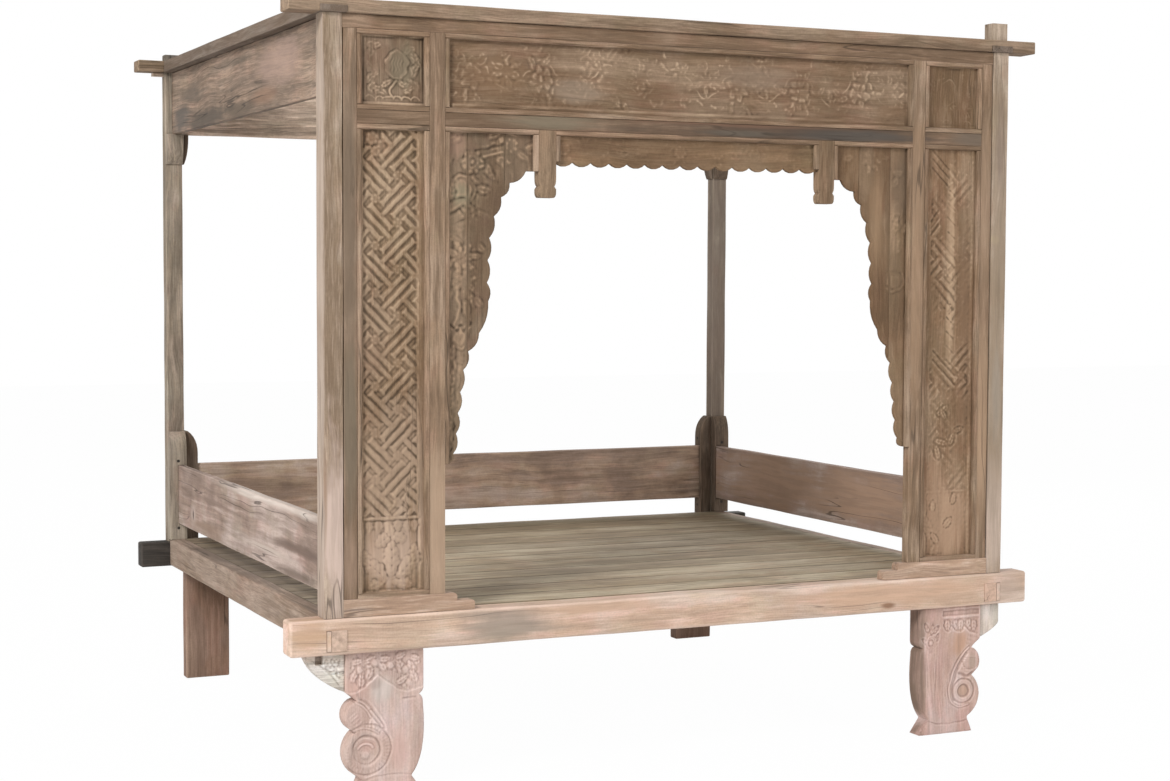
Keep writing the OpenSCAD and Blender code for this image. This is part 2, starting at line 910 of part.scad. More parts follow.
module right_back_cleat() {
    color("#84746a") back_cleat();
}

module cleat_pegs() {
    color("#5b4a3c") own() both_sides() pegs();
}

// Screen frame
module screen_head_rail() {
    color("#a38a73") cut() difference() {
        box([-x_fp0, y_s0, z_head], [x_fp0, y_s1, frame_h]);
        both_sides() {
            stile_tenons(x_os0, x_os1);
            stile_tenons(x_is0, x_is1);
            small_panel();
        }
        frieze();
    }
}

module outer_stile() {
    difference() {
        union() {
            box([x_os0, y_s0, z_sill], [x_os1, y_s1, z_head]);
            own() stile_tenons(x_os0, x_os1);
        }
        cut() {
            rail_tenons(x_is1, x_os0);
            small_panel();
            long_panel();
        }
    }
}

module left_outer_stile() {
    color("#857767") on_side(-1) outer_stile();
}

module right_outer_stile() {
    color("#ae9079") outer_stile();
}

module inner_stile() {
    difference() {
        union() {
            box([x_is0, y_s0, z_sill], [x_is1, y_s1, z_head]);
            own() stile_tenons(x_is0, x_is1);
        }
        cut() {
            rail_tenons(x_is1, x_os0);
            rail_tenons(-x_is0, x_is0);
            small_panel();
            long_panel();
            frieze();
            arch_grooves();
        }
    }
}

module left_inner_stile() {
    color("#a98a75") on_side(-1) inner_stile();
}

module right_inner_stile() {
    color("#a98a75") inner_stile();
}

module screen_middle_rail() {
    color("#8d7a68") difference() {
        union() {
            box([-x_is0, y_s0, z_mid0], [x_is0, y_s1, z_mid1]);
            own() rail_tenons(-x_is0, x_is0);
        }
        cut() {
            frieze();
            both_sides() {
                arch_grooves();
                pendant_tenon();
            }
        }
    }
}

module side_middle_rail() {
    difference() {
        union() {
            box([x_is1, y_s0, z_mid0], [x_os0, y_s1, z_mid1]);
            own() rail_tenons(x_is1, x_os0);
        }
        cut() small_panel();
        cut() long_panel();
    }
}

module left_middle_rail() {
    color("#8f7d6c") on_side(-1) side_middle_rail();
}

module right_middle_rail() {
    color("#8f7d6c") side_middle_rail();
}

// A sill with two rounded steps on the side of the opening
module sill() {
    low = x_is0 - sill_low_out;
    top = x_is0 - sill_top_out;
    z_step = deck_h + sill_step_h;
    r = sill_nose;
    difference() {
        plate_y(y_front, y_s1) polygon(concat(
            [[x_fp0, deck_h], [x_fp0, z_sill]],
            arc([top + r, z_sill - r], r, 90, 180, 4),
            [[top, z_step]],
            arc([low + r, z_step - r], r, 90, 180, 4),
            [[low, deck_h]]));
        cut() {
            stile_tenons(x_os0, x_os1);
            stile_tenons(x_is0, x_is1);
            long_panel();
        }
    }
}

module left_sill() {
    color("#bb9a80") on_side(-1) sill();
}

module right_sill() {
    color("#bb9a80") sill();
}

// Screen panels
module left_small_panel() {
    color("#8a7460") own() on_side(-1) small_panel();
}

module right_small_panel() {
    color("#8a7460") own() small_panel();
}

module frieze_panel() {
    color("#8f765c") own() frieze();
}

module left_long_panel() {
    color("#9c8470") own() on_side(-1) long_panel();
}

module right_long_panel() {
    color("#94785f") own() long_panel();
}

// The right spandrel's outline in X and Z, its edge a row of scallops
module spandrel_outline() {
    cusps = [for (c = arch_cusps) [x_is0 - c[0], z_mid0 - c[1]]];
    foot = [x_is0 - bead_w, z_spandrel0];
    all = concat(cusps, [foot]);
    x_in = x_pend1 - groove_d;
    x_out = x_is0 + groove_d;
    polygon(concat([[x_in, z_mid0 + groove_d], [x_in, z_arch]],
        [for (i = [0:len(all) - 2]) each scallop(all[i], all[i + 1], scallop_sag)],
        [[x_out, z_spandrel0], [x_out, z_mid0 + groove_d]]));
}

// The spandrel's boards, side by side with open joints
module spandrel() {
    edges = concat([0], [for (j = board_joints) x_is0 - j], [x_post]);
    for (i = [0:len(edges) - 2])
        plate_y(y_panel0, y_panel1) intersection() {
            spandrel_outline();
            translate([edges[i] + board_gap / 2, 0])
                square([edges[i + 1] - edges[i] - board_gap, frame_h]);
        }
}

module left_spandrel() {
    color("#8c7763") on_side(-1) spandrel();
}

module right_spandrel() {
    color("#8f765f") spandrel();
}

// A pendant: a square drop with a waist above its end block
module pendant() {
    z0 = z_mid0 - pendant_l;
    z_waist = z0 + pendant_block;
    side = concat([[pendant_w / 2, z_mid0]],
        curve([pendant_w / 2, z_waist + 24], [pendant_w / 2, z_waist + 6],
            [pendant_w / 2 - pendant_waist, z_waist], 4),
        curve([pendant_w / 2, z_waist - 8], [pendant_w / 2 + 1, z0 + 4],
            [pendant_w / 2 - 7, z0], 4));
    difference() {
        union() {
            plate_y(y_s0, y_s1) translate([pendant_x, 0])
                polygon(concat(side, [for (i = [len(side) - 1:-1:0]) [-side[i][0], side[i][1]]]));
            own() pendant_tenon();
        }
        cut() arch_grooves();
    }
}

module left_pendant() {
    color("#a08a70") on_side(-1) pendant();
}

module right_pendant() {
    color("#a08a70") pendant();
}

// The valance, its lower edge a row of scallops
module valance() {
    x1 = x_pend0 + groove_d;
    z0 = z_valance0 + valance_sag;
    pitch = 2 * x_pend0 / valance_n;
    color("#94795c") plate_y(y_panel0, y_panel1) polygon(concat(
        [[-x1, z_mid0 + groove_d], [-x1, z0]],
        [for (i = [0:valance_n - 1])
            each scallop([i * pitch - x_pend0, z0], [(i + 1) * pitch - x_pend0, z0], valance_sag)],
        [[x1, z0], [x1, z_mid0 + groove_d]]));
}

// A bead's section, from the frame's edge inwards and from the panel's face to the front
module bead_section() {
    polygon(concat([[0, 0], [bead_w, 0]],
        arc([bead_w - bead_r, bead_d - bead_r], bead_r, 0, 90, 4), [[0, bead_d]]));
}

// A bead up an edge at x, on the side given by s
module bead_up(x, s, z0, z1) {
    translate([x, y_panel0, z0]) on_side(s) mirror([0, 1, 0]) linear_extrude(z1 - z0)
        bead_section();
}

// A bead along an edge at z, above it or below it as s says
module bead_along(z, s, x0, x1) {
    translate([x0, y_panel0, z]) rotate([90, 0, 90]) linear_extrude(x1 - x0)
        if (s > 0) rotate(90) bead_section();
        else mirror([0, 1]) rotate(90) bead_section();
}

module bead_frame(x0, x1, z0, z1) {
    bead_along(z0, 1, x0, x1);
    bead_along(z1, -1, x0, x1);
    bead_up(x0, 1, z0 + bead_w, z1 - bead_w);
    bead_up(x1, -1, z0 + bead_w, z1 - bead_w);
}

module panel_beads() {
    color("#b09880") {
        both_sides() {
            bead_frame(x_is1, x_os0, z_mid1, z_head);
            bead_frame(x_is1, x_os0, z_sill, z_mid0);
        }
        bead_frame(-x_is0, x_is0, z_mid1, z_head);
    }
}

module arch_beads() {
    z1 = z_mid0 - bead_w;
    z_low = z_valance0 + valance_sag;
    color("#b09880") {
        both_sides() {
            bead_along(z_mid0, -1, x_pend1, x_is0);
            bead_up(x_is0, -1, z_spandrel0, z1);
            bead_up(x_pend1, 1, z_arch, z1);
            bead_up(x_pend0, -1, z_low, z1);
        }
        bead_along(z_mid0, -1, -x_pend0, x_pend0);
    }
}

front_beam();
rear_beam();
left_side_beam();
right_side_beam();
tenon_wedges();
deck_planks();
deck_bearers();
left_front_leg();
right_front_leg();
left_rear_leg();
right_rear_leg();
left_ear_bracket();
right_ear_bracket();
left_front_post();
right_front_post();
left_rear_post();
right_rear_post();
front_top_rail();
rear_top_rail();
left_top_rail();
right_top_rail();
left_canopy_board();
right_canopy_board();
rear_canopy_board();
left_side_corbel();
right_side_corbel();
left_back_corbel();
right_back_corbel();
left_guard_board();
right_guard_board();
back_guard_board();
left_side_cleat();
right_side_cleat();
left_back_cleat();
right_back_cleat();
cleat_pegs();
screen_head_rail();
screen_middle_rail();
left_middle_rail();
right_middle_rail();
left_outer_stile();
right_outer_stile();
left_inner_stile();
right_inner_stile();
left_sill();
right_sill();
left_small_panel();
right_small_panel();
frieze_panel();
left_long_panel();
right_long_panel();
left_spandrel();
right_spandrel();
left_pendant();
right_pendant();
valance();
panel_beads();
arch_beads();
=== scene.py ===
import math

import bmesh
import bpy
import numpy as np
from mathutils import Matrix, Vector
from mathutils.bvhtree import BVHTree


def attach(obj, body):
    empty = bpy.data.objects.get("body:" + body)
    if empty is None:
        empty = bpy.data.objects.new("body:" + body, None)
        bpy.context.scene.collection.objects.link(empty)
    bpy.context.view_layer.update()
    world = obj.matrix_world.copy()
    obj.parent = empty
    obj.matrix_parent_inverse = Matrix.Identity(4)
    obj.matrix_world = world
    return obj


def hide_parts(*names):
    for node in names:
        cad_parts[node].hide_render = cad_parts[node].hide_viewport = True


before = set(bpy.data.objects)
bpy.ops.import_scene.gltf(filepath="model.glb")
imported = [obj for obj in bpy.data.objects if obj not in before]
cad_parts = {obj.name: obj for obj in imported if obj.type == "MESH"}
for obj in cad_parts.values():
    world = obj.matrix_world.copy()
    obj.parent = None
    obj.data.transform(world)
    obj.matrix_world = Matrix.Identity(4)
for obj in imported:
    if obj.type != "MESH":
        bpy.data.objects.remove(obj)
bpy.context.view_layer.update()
scene = bpy.context.scene

# the camera, whose place and angles were fitted to the bed's straight edges
view = {"place": (-2.7319, -6.1221, 1.4290), "yaw": 24.7625, "pitch": -3.2633, "roll": 0.2504,
        "lens": 62.03, "sensor": 36.0, "far": 60}

cameraData = bpy.data.cameras.new("camera")
cameraData.lens = view["lens"]
cameraData.sensor_width = view["sensor"]
cameraData.clip_end = view["far"]
camera = bpy.data.objects.new("camera", cameraData)
scene.collection.objects.link(camera)
camera.matrix_world = (Matrix.Translation(view["place"])
                       @ Matrix.Rotation(-math.radians(view["yaw"]), 4, "Z")
                       @ Matrix.Rotation(math.pi / 2 + math.radians(view["pitch"]), 4, "X")
                       @ Matrix.Rotation(math.radians(view["roll"]), 4, "Z"))
scene.camera = camera
scene.view_settings.view_transform = "Standard"
print("camera is in place")


def linear(red, green, blue):
    # a screen colour, as the renderer counts light
    values = []
    for part in (red, green, blue):
        part = part / 255
        values.append(part / 12.92 if part <= 0.04045 else ((part + 0.055) / 1.055) ** 2.4)
    return (*values, 1)


class Wire:
    # one socket of a node, so that sums of sockets are written the plain way
    def __init__(self, graph, socket):
        self.graph = graph
        self.socket = socket

    def sum(self, operation, first, second=None):
        return self.graph.add("ShaderNodeMath", {"operation": operation},
                              {0: first} if second is None else {0: first, 1: second})

    def __add__(self, other):
        return self.sum("ADD", self, other)

    def __radd__(self, other):
        return self.sum("ADD", other, self)

    def __sub__(self, other):
        return self.sum("SUBTRACT", self, other)

    def __rsub__(self, other):
        return self.sum("SUBTRACT", other, self)

    def __mul__(self, other):
        return self.sum("MULTIPLY", self, other)

    def __rmul__(self, other):
        return self.sum("MULTIPLY", other, self)

    def __truediv__(self, other):
        return self.sum("DIVIDE", self, other)

    def __rtruediv__(self, other):
        return self.sum("DIVIDE", other, self)

    def size(self):
        return self.sum("ABSOLUTE", self)

    def top(self, other):
        return self.sum("MAXIMUM", self, other)

    def between(self, low, high):
        # 0 below low, 1 above high, and soft between the two
        return self.graph.add("ShaderNodeMapRange", {"interpolation_type": "SMOOTHSTEP"},
                              {0: self, 1: low, 2: high, 3: 0.0, 4: 1.0})


class Graph:
    # the nodes of a material or of the world
    def __init__(self, owner):
        self.owner = owner
        owner.use_nodes = True
        self.tree = owner.node_tree
        self.tree.nodes.clear()

    def add(self, kind, settings, sockets, out=0):
        item = self.tree.nodes.new(kind)
        for key, value in settings.items():
            setattr(item, key, value)
        for key, value in sockets.items():
            if isinstance(value, Wire):
                self.tree.links.new(value.socket, item.inputs[key])
            else:
                item.inputs[key].default_value = value
        return Wire(self, item.outputs[out]) if len(item.outputs) else None

    def blend(self, factor, first, second):
        return self.add("ShaderNodeMix", {"data_type": "RGBA"}, {0: factor, 6: first, 7: second}, out=2)

    def noise(self, place, scale, detail=3.0, rough=0.55, out=0):
        return self.add("ShaderNodeTexNoise", {"noise_dimensions": "3D"},
                        {"Vector": place, "Scale": scale, "Detail": detail, "Roughness": rough}, out=out)

    def stretched(self, place, scale, shift):
        return self.add("ShaderNodeMapping", {"vector_type": "POINT"},
                        {"Vector": place, "Location": shift, "Scale": scale})


# the studio: a lamp is its place, its size and its power
studio = {"floorSize": 40.0, "floorColour": 0.90, "glow": 0.985, "sky": 0.36, "aim": (0, 0, 1.0),
          "key": ((-6.2, -4.6, 5.4), 2.2, 560.0), "fill": ((4.2, -6.4, 2.8), 3.0, 175.0),
          "back": ((4.2, 5.6, 4.2), 3.5, 210.0), "side": ((-7.0, 0.5, 2.2), 3.0, 62.0)}


def makeStudio():
    bm = bmesh.new()
    bmesh.ops.create_grid(bm, x_segments=1, y_segments=1, size=studio["floorSize"] / 2)
    mesh = bpy.data.meshes.new("floor")
    bm.to_mesh(mesh)
    bm.free()
    floor = bpy.data.objects.new("floor", mesh)
    scene.collection.objects.link(floor)
    graph = Graph(bpy.data.materials.new("pale_floor"))
    seen = graph.add("ShaderNodeLightPath", {}, {}).socket.node.outputs
    direct = (Wire(graph, seen["Is Camera Ray"]) + Wire(graph, seen["Is Glossy Ray"])
              + Wire(graph, seen["Is Transmission Ray"]))
    tone = studio["floorColour"]
    matt = graph.add("ShaderNodeBsdfDiffuse", {}, {"Color": (tone, tone, tone, 1)})
    glow = graph.add("ShaderNodeEmission", {}, {"Color": (1, 1, 1, 1), "Strength": 1.0})
    both = graph.add("ShaderNodeMixShader", {}, {0: direct * studio["glow"], 1: matt, 2: glow})
    graph.add("ShaderNodeOutputMaterial", {}, {"Surface": both})
    mesh.materials.append(graph.owner)

    graph = Graph(bpy.data.worlds.new("studio"))         # white where it is seen, soft where it lights
    scene.world = graph.owner
    seen = graph.add("ShaderNodeLightPath", {}, {}).socket.node.outputs
    direct = Wire(graph, seen["Is Camera Ray"]).top(Wire(graph, seen["Is Glossy Ray"]))
    soft, white = [graph.add("ShaderNodeBackground", {}, {"Color": (1, 1, 1, 1), "Strength": strength})
                   for strength in (studio["sky"], 1.0)]
    both = graph.add("ShaderNodeMixShader", {}, {0: direct, 1: soft, 2: white})
    graph.add("ShaderNodeOutputWorld", {}, {"Surface": both})

    for name in ("key", "fill", "back", "side"):
        place, size, power = studio[name]
        light = bpy.data.lights.new(name, "AREA")
        light.shape = "SQUARE"
        light.size = size
        light.energy = power
        lamp = bpy.data.objects.new(name, light)
        scene.collection.objects.link(lamp)
        lamp.location = place
        lamp.rotation_euler = (Vector(studio["aim"]) - Vector(place)).to_track_quat("-Z", "Y").to_euler()


makeStudio()
print("studio is lit")


def mixed(first, second, share):
    return tuple(a * (1 - share) + b * share for a, b in zip(first, second))


def scaled(tone, *shares):
    shares = shares if len(shares) == 3 else shares * 3
    return linear(*[min(255, part * share) for part, share in zip(tone, shares)])


# Old teak: tone is the wood's own colour, pale its dry and limed streaks, dark its stains and cracks, all as
# screen colours, and blotches are patches, each a centre, a reach, a colour and a strength. The grain follows the
# attribute "fibre", which gives each board its own run, and "own" is each board's number for its tone. "cut" is
# what the carver or wear did: on carved wood over 0.5 is a hollow and below it a ridge, and on sawn timber 1 is a
# rubbed arris. Hollows are painted dark, partly as dirt and partly as painted shade, and ridges and rubbed arrises
# pale, partly as wear and partly as painted highlight.
def oldWood(name, tone, pale, dark, streaks=0.62, lime=0.4, cracks=0.6, stain=0.3, varied=0.3, dirt=None, rubbed=0.4,
            blotches=(), fine=0.25, arris=0.5, soiled=False, clouds=0.5):
    graph = Graph(bpy.data.materials.new(name))
    place = graph.add("ShaderNodeTexCoord", {}, {}, out="Object")
    fibre = graph.add("ShaderNodeAttribute", {"attribute_name": "fibre"}, {}, out="Vector")
    own = graph.add("ShaderNodeAttribute", {"attribute_name": "own"}, {}, out="Fac")
    worn = graph.add("ShaderNodeAttribute", {"attribute_name": "cut"}, {}, out="Fac")
    wander = graph.noise(fibre, 1.9, 2.0, out=1)
    bent = graph.add("ShaderNodeVectorMath", {"operation": "MULTIPLY_ADD"},
                     {0: wander, 1: (0.055, 0.055, 0.0), 2: fibre})

    def fibres(across, length, detail, roughness=0.55, offset=0.0):
        moved = graph.stretched(bent, (across, across, length), (offset, offset * 0.7, offset * 1.3))
        return graph.noise(moved, 1.0, detail, roughness)

    broad = fibres(10, 0.9, 2.0)                         # bands of sapwood and heartwood
    streak = fibres(46, 2.6, 4.0, 0.62, 3.1)
    second = fibres(70, 4.5, 3.0, 0.60, 23.7)            # shorter streaks over them
    thin = fibres(300, 9.0, 3.0, 0.6, 7.7)               # single fibres
    mottle = fibres(26, 6, 3.0, 0.6, 41.3)               # small stains along the grain
    patch = graph.noise(place, 4.2, 4.0, 0.62)
    speck = graph.noise(place, 170, 2.0, 0.6)
    palest, darkest = linear(*pale), linear(*dark)

    hue = graph.blend((broad * 0.5 + patch * 0.5).between(0.44, 0.58), scaled(tone, 1.05, 0.99, 0.90),
                      scaled(tone, 0.96, 0.98, 0.99))
    colour = graph.blend(0.7, linear(*tone), hue)
    tint = graph.noise(place, 7.5, 3.0, 0.55) * 0.6 + streak * 0.4
    shade = patch * 0.5 + broad * 0.5
    heart = (broad * 0.4 + streak * 0.6).between(0.53, 0.44)
    limed = (streak * 0.5 + patch * 0.25 + second * 0.25).between(0.52, 0.64)
    stained = ((1 - streak) * 0.45 + (1 - patch) * 0.55).between(0.53, 0.64)
    for share, paint in (
            (tint.between(0.51, 0.60) * 0.55, scaled(tone, 1.06, 0.97, 0.97)),        # redder spots
            (tint.between(0.48, 0.40) * 0.55, scaled(tone, 0.95, 0.99, 0.93)),        # greener spots
            (shade.between(0.54, 0.42) * clouds, linear(*mixed(tone, dark, 0.55))),   # dull clouds
            (shade.between(0.50, 0.62) * clouds, linear(*mixed(tone, pale, 0.70))),   # dry clouds
            (own.between(0.45, 1.0) * varied, palest),                                # each board's own tone
            (own.between(0.55, 0.0) * varied, darkest),
            (heart * streaks, linear(*mixed(tone, dark, 0.62))),
            (second.between(0.54, 0.36) * streaks * 0.55, darkest),
            (limed * lime, palest),
            (stained * stain, darkest),
            (mottle.between(0.58, 0.36) * 0.16, darkest),
            (mottle.between(0.48, 0.68) * 0.14, palest),
            (thin.between(0.56, 0.36) * fine + speck.between(0.60, 0.34) * 0.12, scaled(dark, 0.74)),
            (thin.between(0.50, 0.70) * fine * 0.9, palest)):
        colour = graph.blend(share, colour, paint)
    for centre, reach, patchTone, strength in blotches:
        away = graph.stretched(place, tuple(1 / r for r in reach), tuple(-c / r for c, r in zip(centre, reach)))
        far = graph.add("ShaderNodeVectorMath", {"operation": "LENGTH"}, {0: away}, out="Value")
        rag = min(1.6, 20 * sorted(reach)[1])            # a small knot keeps its shape, a large stain is ragged
        mask = (far + (patch + streak - 1) * rag).between(1.15, 0.35)
        paint = graph.blend(second.between(0.40, 0.60) * 0.6, linear(*patchTone), scaled(patchTone, 0.86))
        colour = graph.blend(mask * strength, colour, paint)

    split = fibres(22, 0.9, 2.0, 0.5, 11.3)
    where = fibres(8, 1.6, 2.0, 0.5, 17.9)
    crack = (split - 0.5).size().between(0.014, 0.003) * where.between(0.52, 0.62)
    colour = graph.blend(crack * cracks, colour, scaled(dark, 0.45))
    if dirt is not None:                                 # dirt and painted shade darken the cuts, and the ridges are painted pale as wear and painted highlight
        uneven = patch * 0.5 + mottle * 0.5
        soilAndShade = worn.between(0.51, 0.95) * (uneven.between(0.62, 0.38) * 0.5 + 0.5)
        ridge = worn.between(0.49, 0.10) * (uneven.between(0.38, 0.60) * 0.6 + 0.4)
        colour = graph.blend(soilAndShade * dirt, colour, scaled(dark, 0.66))
        colour = graph.blend(ridge * rubbed, colour, scaled(pale, 1.08))
    elif soiled:                                         # dirt along the arrises, as in the seams of a deck
        colour = graph.blend(worn * (streak * 0.5 + 0.5) * arris, colour, scaled(dark, 0.55))
    else:                                                # rubbed arrises, painted pale as wear and as a thin painted highlight
        colour = graph.blend(worn * (streak * 0.9 + 0.1) * arris, colour, scaled(pale, 1.05))

    height = streak * 0.4 + second * 0.2 + thin * 0.3 + speck * 0.1 - crack * 0.8
    surface = graph.add("ShaderNodeBump", {}, {"Strength": 0.5, "Distance": 0.0018, "Height": height})
    dull = streak * 0.16 + limed * 0.06 + 0.74
    shader = graph.add("ShaderNodeBsdfPrincipled", {}, {
        "Base Color": colour, "Roughness": dull, "Normal": surface, "Specular IOR Level": 0.25})
    graph.add("ShaderNodeOutputMaterial", {}, {"Surface": shader})
    return graph.owner


print("materials are ready")


def cloud(x, z, size, seed, count=9):
    # a smooth field from about -1 to 1, with swells about size wide, the same on every run
    dice = np.random.default_rng(seed)
    total = np.zeros_like(x, dtype=float)
    for angle, phase, stretch in zip(dice.uniform(0, math.tau, count), dice.uniform(0, math.tau, count),
                                     dice.uniform(0.6, 1.9, count)):
        total += np.sin((x * math.cos(angle) + z * math.sin(angle)) * math.tau * stretch / size + phase)
    return total / math.sqrt(count) / 1.1


def cadCopy(name):
    # a CAD node's own shape, with its corners joined and its flat faces whole
    bm = bmesh.new()
    bm.from_mesh(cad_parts[name].data)
    bmesh.ops.remove_doubles(bm, verts=bm.verts[:], dist=1e-5)
    bmesh.ops.dissolve_limit(bm, angle_limit=math.radians(0.5), verts=bm.verts[:], edges=bm.edges[:])
    return bm


def islands(bm):
    # the vertices of each separate board
    seen, found = set(), []
    for start in bm.verts:
        if start in seen:
            continue
        stack, group = [start], []
        seen.add(start)
        while stack:
            vert = stack.pop()
            group.append(vert)
            for edge in vert.link_edges:
                other = edge.other_vert(vert)
                if other not in seen:
                    seen.add(other)
                    stack.append(other)
        found.append(group)
    return found


def corners(group):
    points = np.array([v.co for v in group])
    return points.min(0), points.max(0)


def pointsOf(mesh):
    flat = np.empty(len(mesh.vertices) * 3, np.float32)
    mesh.vertices.foreach_get("co", flat)
    return flat.reshape(-1, 3).astype(float)


def setPoints(mesh, points):
    mesh.vertices.foreach_set("co", points.astype(np.float32).ravel())
    mesh.update()


def setAttribute(mesh, name, kind, values, domain="POINT"):
    attribute = mesh.attributes.new(name, kind, domain)
    field = "vector" if kind == "FLOAT_VECTOR" else "value"
    attribute.data.foreach_set(field, np.asarray(values, np.float32).ravel())


# Gives every board of a piece its own run of grain along its length, and its own tone. A frame of beads in one
# piece has its grain along each of its sides.
def grain(mesh, seed, along=None, bead=0.016):
    bm = bmesh.new()
    bm.from_mesh(mesh)
    ring = along == "ring"
    fibre, own = np.zeros((len(mesh.loops if ring else mesh.vertices), 3)), np.zeros(len(mesh.vertices))
    dice = np.random.default_rng(seed * 7 + 3)
    bm.verts.index_update()
    boards = sorted(islands(bm), key=lambda group: [round(part, 2) for part in group[0].co])
    orders = {0: (1, 2, 0), 1: (2, 0, 1), 2: (0, 1, 2)}
    first = dict(zip(bm.faces, np.cumsum([0] + [len(face.verts) for face in bm.faces]).tolist()))
    for group in boards:
        low, high = corners(group)
        numbers = [v.index for v in group]
        shift = dice.uniform(0, 9, 3)
        own[numbers] = dice.uniform(0, 1)
        if not ring:
            axis = int(np.argmax(high - low)) if along is None else "xyz".index(along)
            fibre[numbers] = np.array([v.co for v in group])[:, orders[axis]] + shift
            continue
        for face in {f for v in group for f in v.link_faces}:
            middle = face.calc_center_median()
            beside = min(middle.x - low[0], high[0] - middle.x) < bead
            between = min(middle.z - low[2], high[2] - middle.z) > bead
            order = orders[2 if beside and between else 0]
            for number, vert in enumerate(face.verts, first[face]):
                fibre[number] = [vert.co[i] + shift[k] for k, i in enumerate(order)]
    bm.free()
    setAttribute(mesh, "fibre", "FLOAT_VECTOR", fibre, "CORNER" if ring else "POINT")
    setAttribute(mesh, "own", "FLOAT", own)


def place(mesh, name, nodes, material, slot, smooth=14, seed=1, along=None):
    grain(mesh, seed, along)
    mesh.shade_smooth()
    mesh.set_sharp_from_angle(angle=math.radians(smooth))
    mesh.materials.clear()
    mesh.materials.append(material)
    piece = bpy.data.objects.new(name, mesh)
    scene.collection.objects.link(piece)
    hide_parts(*nodes)
    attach(piece, "root")
    return piece


# A sawn member: the CAD node's own shape, its long arrises rubbed round by softened and its faces out of true
# by at most twice wave. With outline, every arris of its outline is rubbed, and not the long ones alone.
def timber(name, material, slot, softened, wave, seed, outline=False, along=None):
    bm = cadCopy(name)
    arrises = []
    for group in islands(bm):
        low, high = corners(group)
        for edge in {e for v in group for e in v.link_edges}:
            if len(edge.link_faces) != 2 or not edge.is_convex or edge.calc_face_angle(0) < 0.5:
                continue
            middle = (edge.verts[0].co + edge.verts[1].co) / 2
            touching = sum(min(abs(middle[i] - low[i]), abs(middle[i] - high[i])) < 1e-4 for i in range(3))
            spans = sum(abs(edge.verts[0].co[i] - edge.verts[1].co[i]) > 1e-5 for i in range(3))
            if edge.calc_length() < 4 * softened:
                continue
            if (touching >= 2 and spans == 1) or (outline and touching >= 1):
                arrises.append(edge)
    # the bevels are marked for painting: pale as wear and a thin painted highlight, or dark on soiled wood
    rub = bm.verts.layers.float.new("cut")
    if arrises:
        made = bmesh.ops.bevel(bm, geom=arrises, offset=softened, offset_type="OFFSET", affect="EDGES", segments=3,
                               profile=0.5, material=-1, clamp_overlap=True)
        strip = set(made["faces"])
        for vert in {v for f in made["faces"] for v in f.verts}:
            vert[rub] = 1 if all(f in strip for f in vert.link_faces) else 0.12
    bmesh.ops.triangulate(bm, faces=bm.faces[:])
    low, high = corners(bm.verts)
    long = int(np.argmax(high - low))
    cuts = int((high - low)[long] / 0.06)               # its faces bend every 60 mm
    for i in range(1, cuts):
        point = Vector((low + high) / 2)
        point[long] = low[long] + (high - low)[long] * i / cuts
        normal = Vector((0, 0, 0))
        normal[long] = 1
        bmesh.ops.bisect_plane(bm, geom=bm.verts[:] + bm.edges[:] + bm.faces[:], plane_co=point, plane_no=normal)
    for group in islands(bm):
        low, high = corners(group)
        middle, half = (low + high) / 2, np.maximum((high - low) / 2, 1e-4)
        long = int(np.argmax(high - low))
        points = np.array([v.co for v in group])
        spot = points[:, long]
        for axis in range(3):
            if axis == long:
                continue
            side = (points[:, axis] - middle[axis]) / half[axis]
            other = points[:, 3 - axis - long]
            pull = wave * (0.5 + 0.45 * cloud(spot + 3.7 * axis, other * 1.5, 0.42, seed + axis))
            points[:, axis] -= np.sign(side) * np.abs(side) ** 6 * np.clip(pull, 0, 2 * wave)
        for vert, point in zip(group, points):
            vert.co = point
    bmesh.ops.triangulate(bm, faces=bm.faces[:])
    mesh = bpy.data.meshes.new(name + "_wood")
    bm.to_mesh(mesh)
    bm.free()
    return place(mesh, name + "_wood", [name], material, slot, seed=seed, along=along)


def turned(angle, wide, tall=None):
    # a point at an angle in degrees, on a circle or an oval
    return wide * math.cos(math.radians(angle)), (wide if tall is None else tall) * math.sin(math.radians(angle))


def curve(points, count=8):
    # a smooth run through the points
    points = np.array(points, float)
    ends = np.vstack([2 * points[0] - points[1], points, 2 * points[-1] - points[-2]])
    run = []
    for a, b, c, d in zip(ends[:-3], ends[1:-2], ends[2:-1], ends[3:]):
        for t in np.arange(count) / count:
            run.append(0.5 * (2 * b + (c - a) * t + (2 * a - 5 * b + 4 * c - d) * t ** 2
                              + (3 * b - a - 3 * c + d) * t ** 3))
    return np.array(run + [points[-1]])


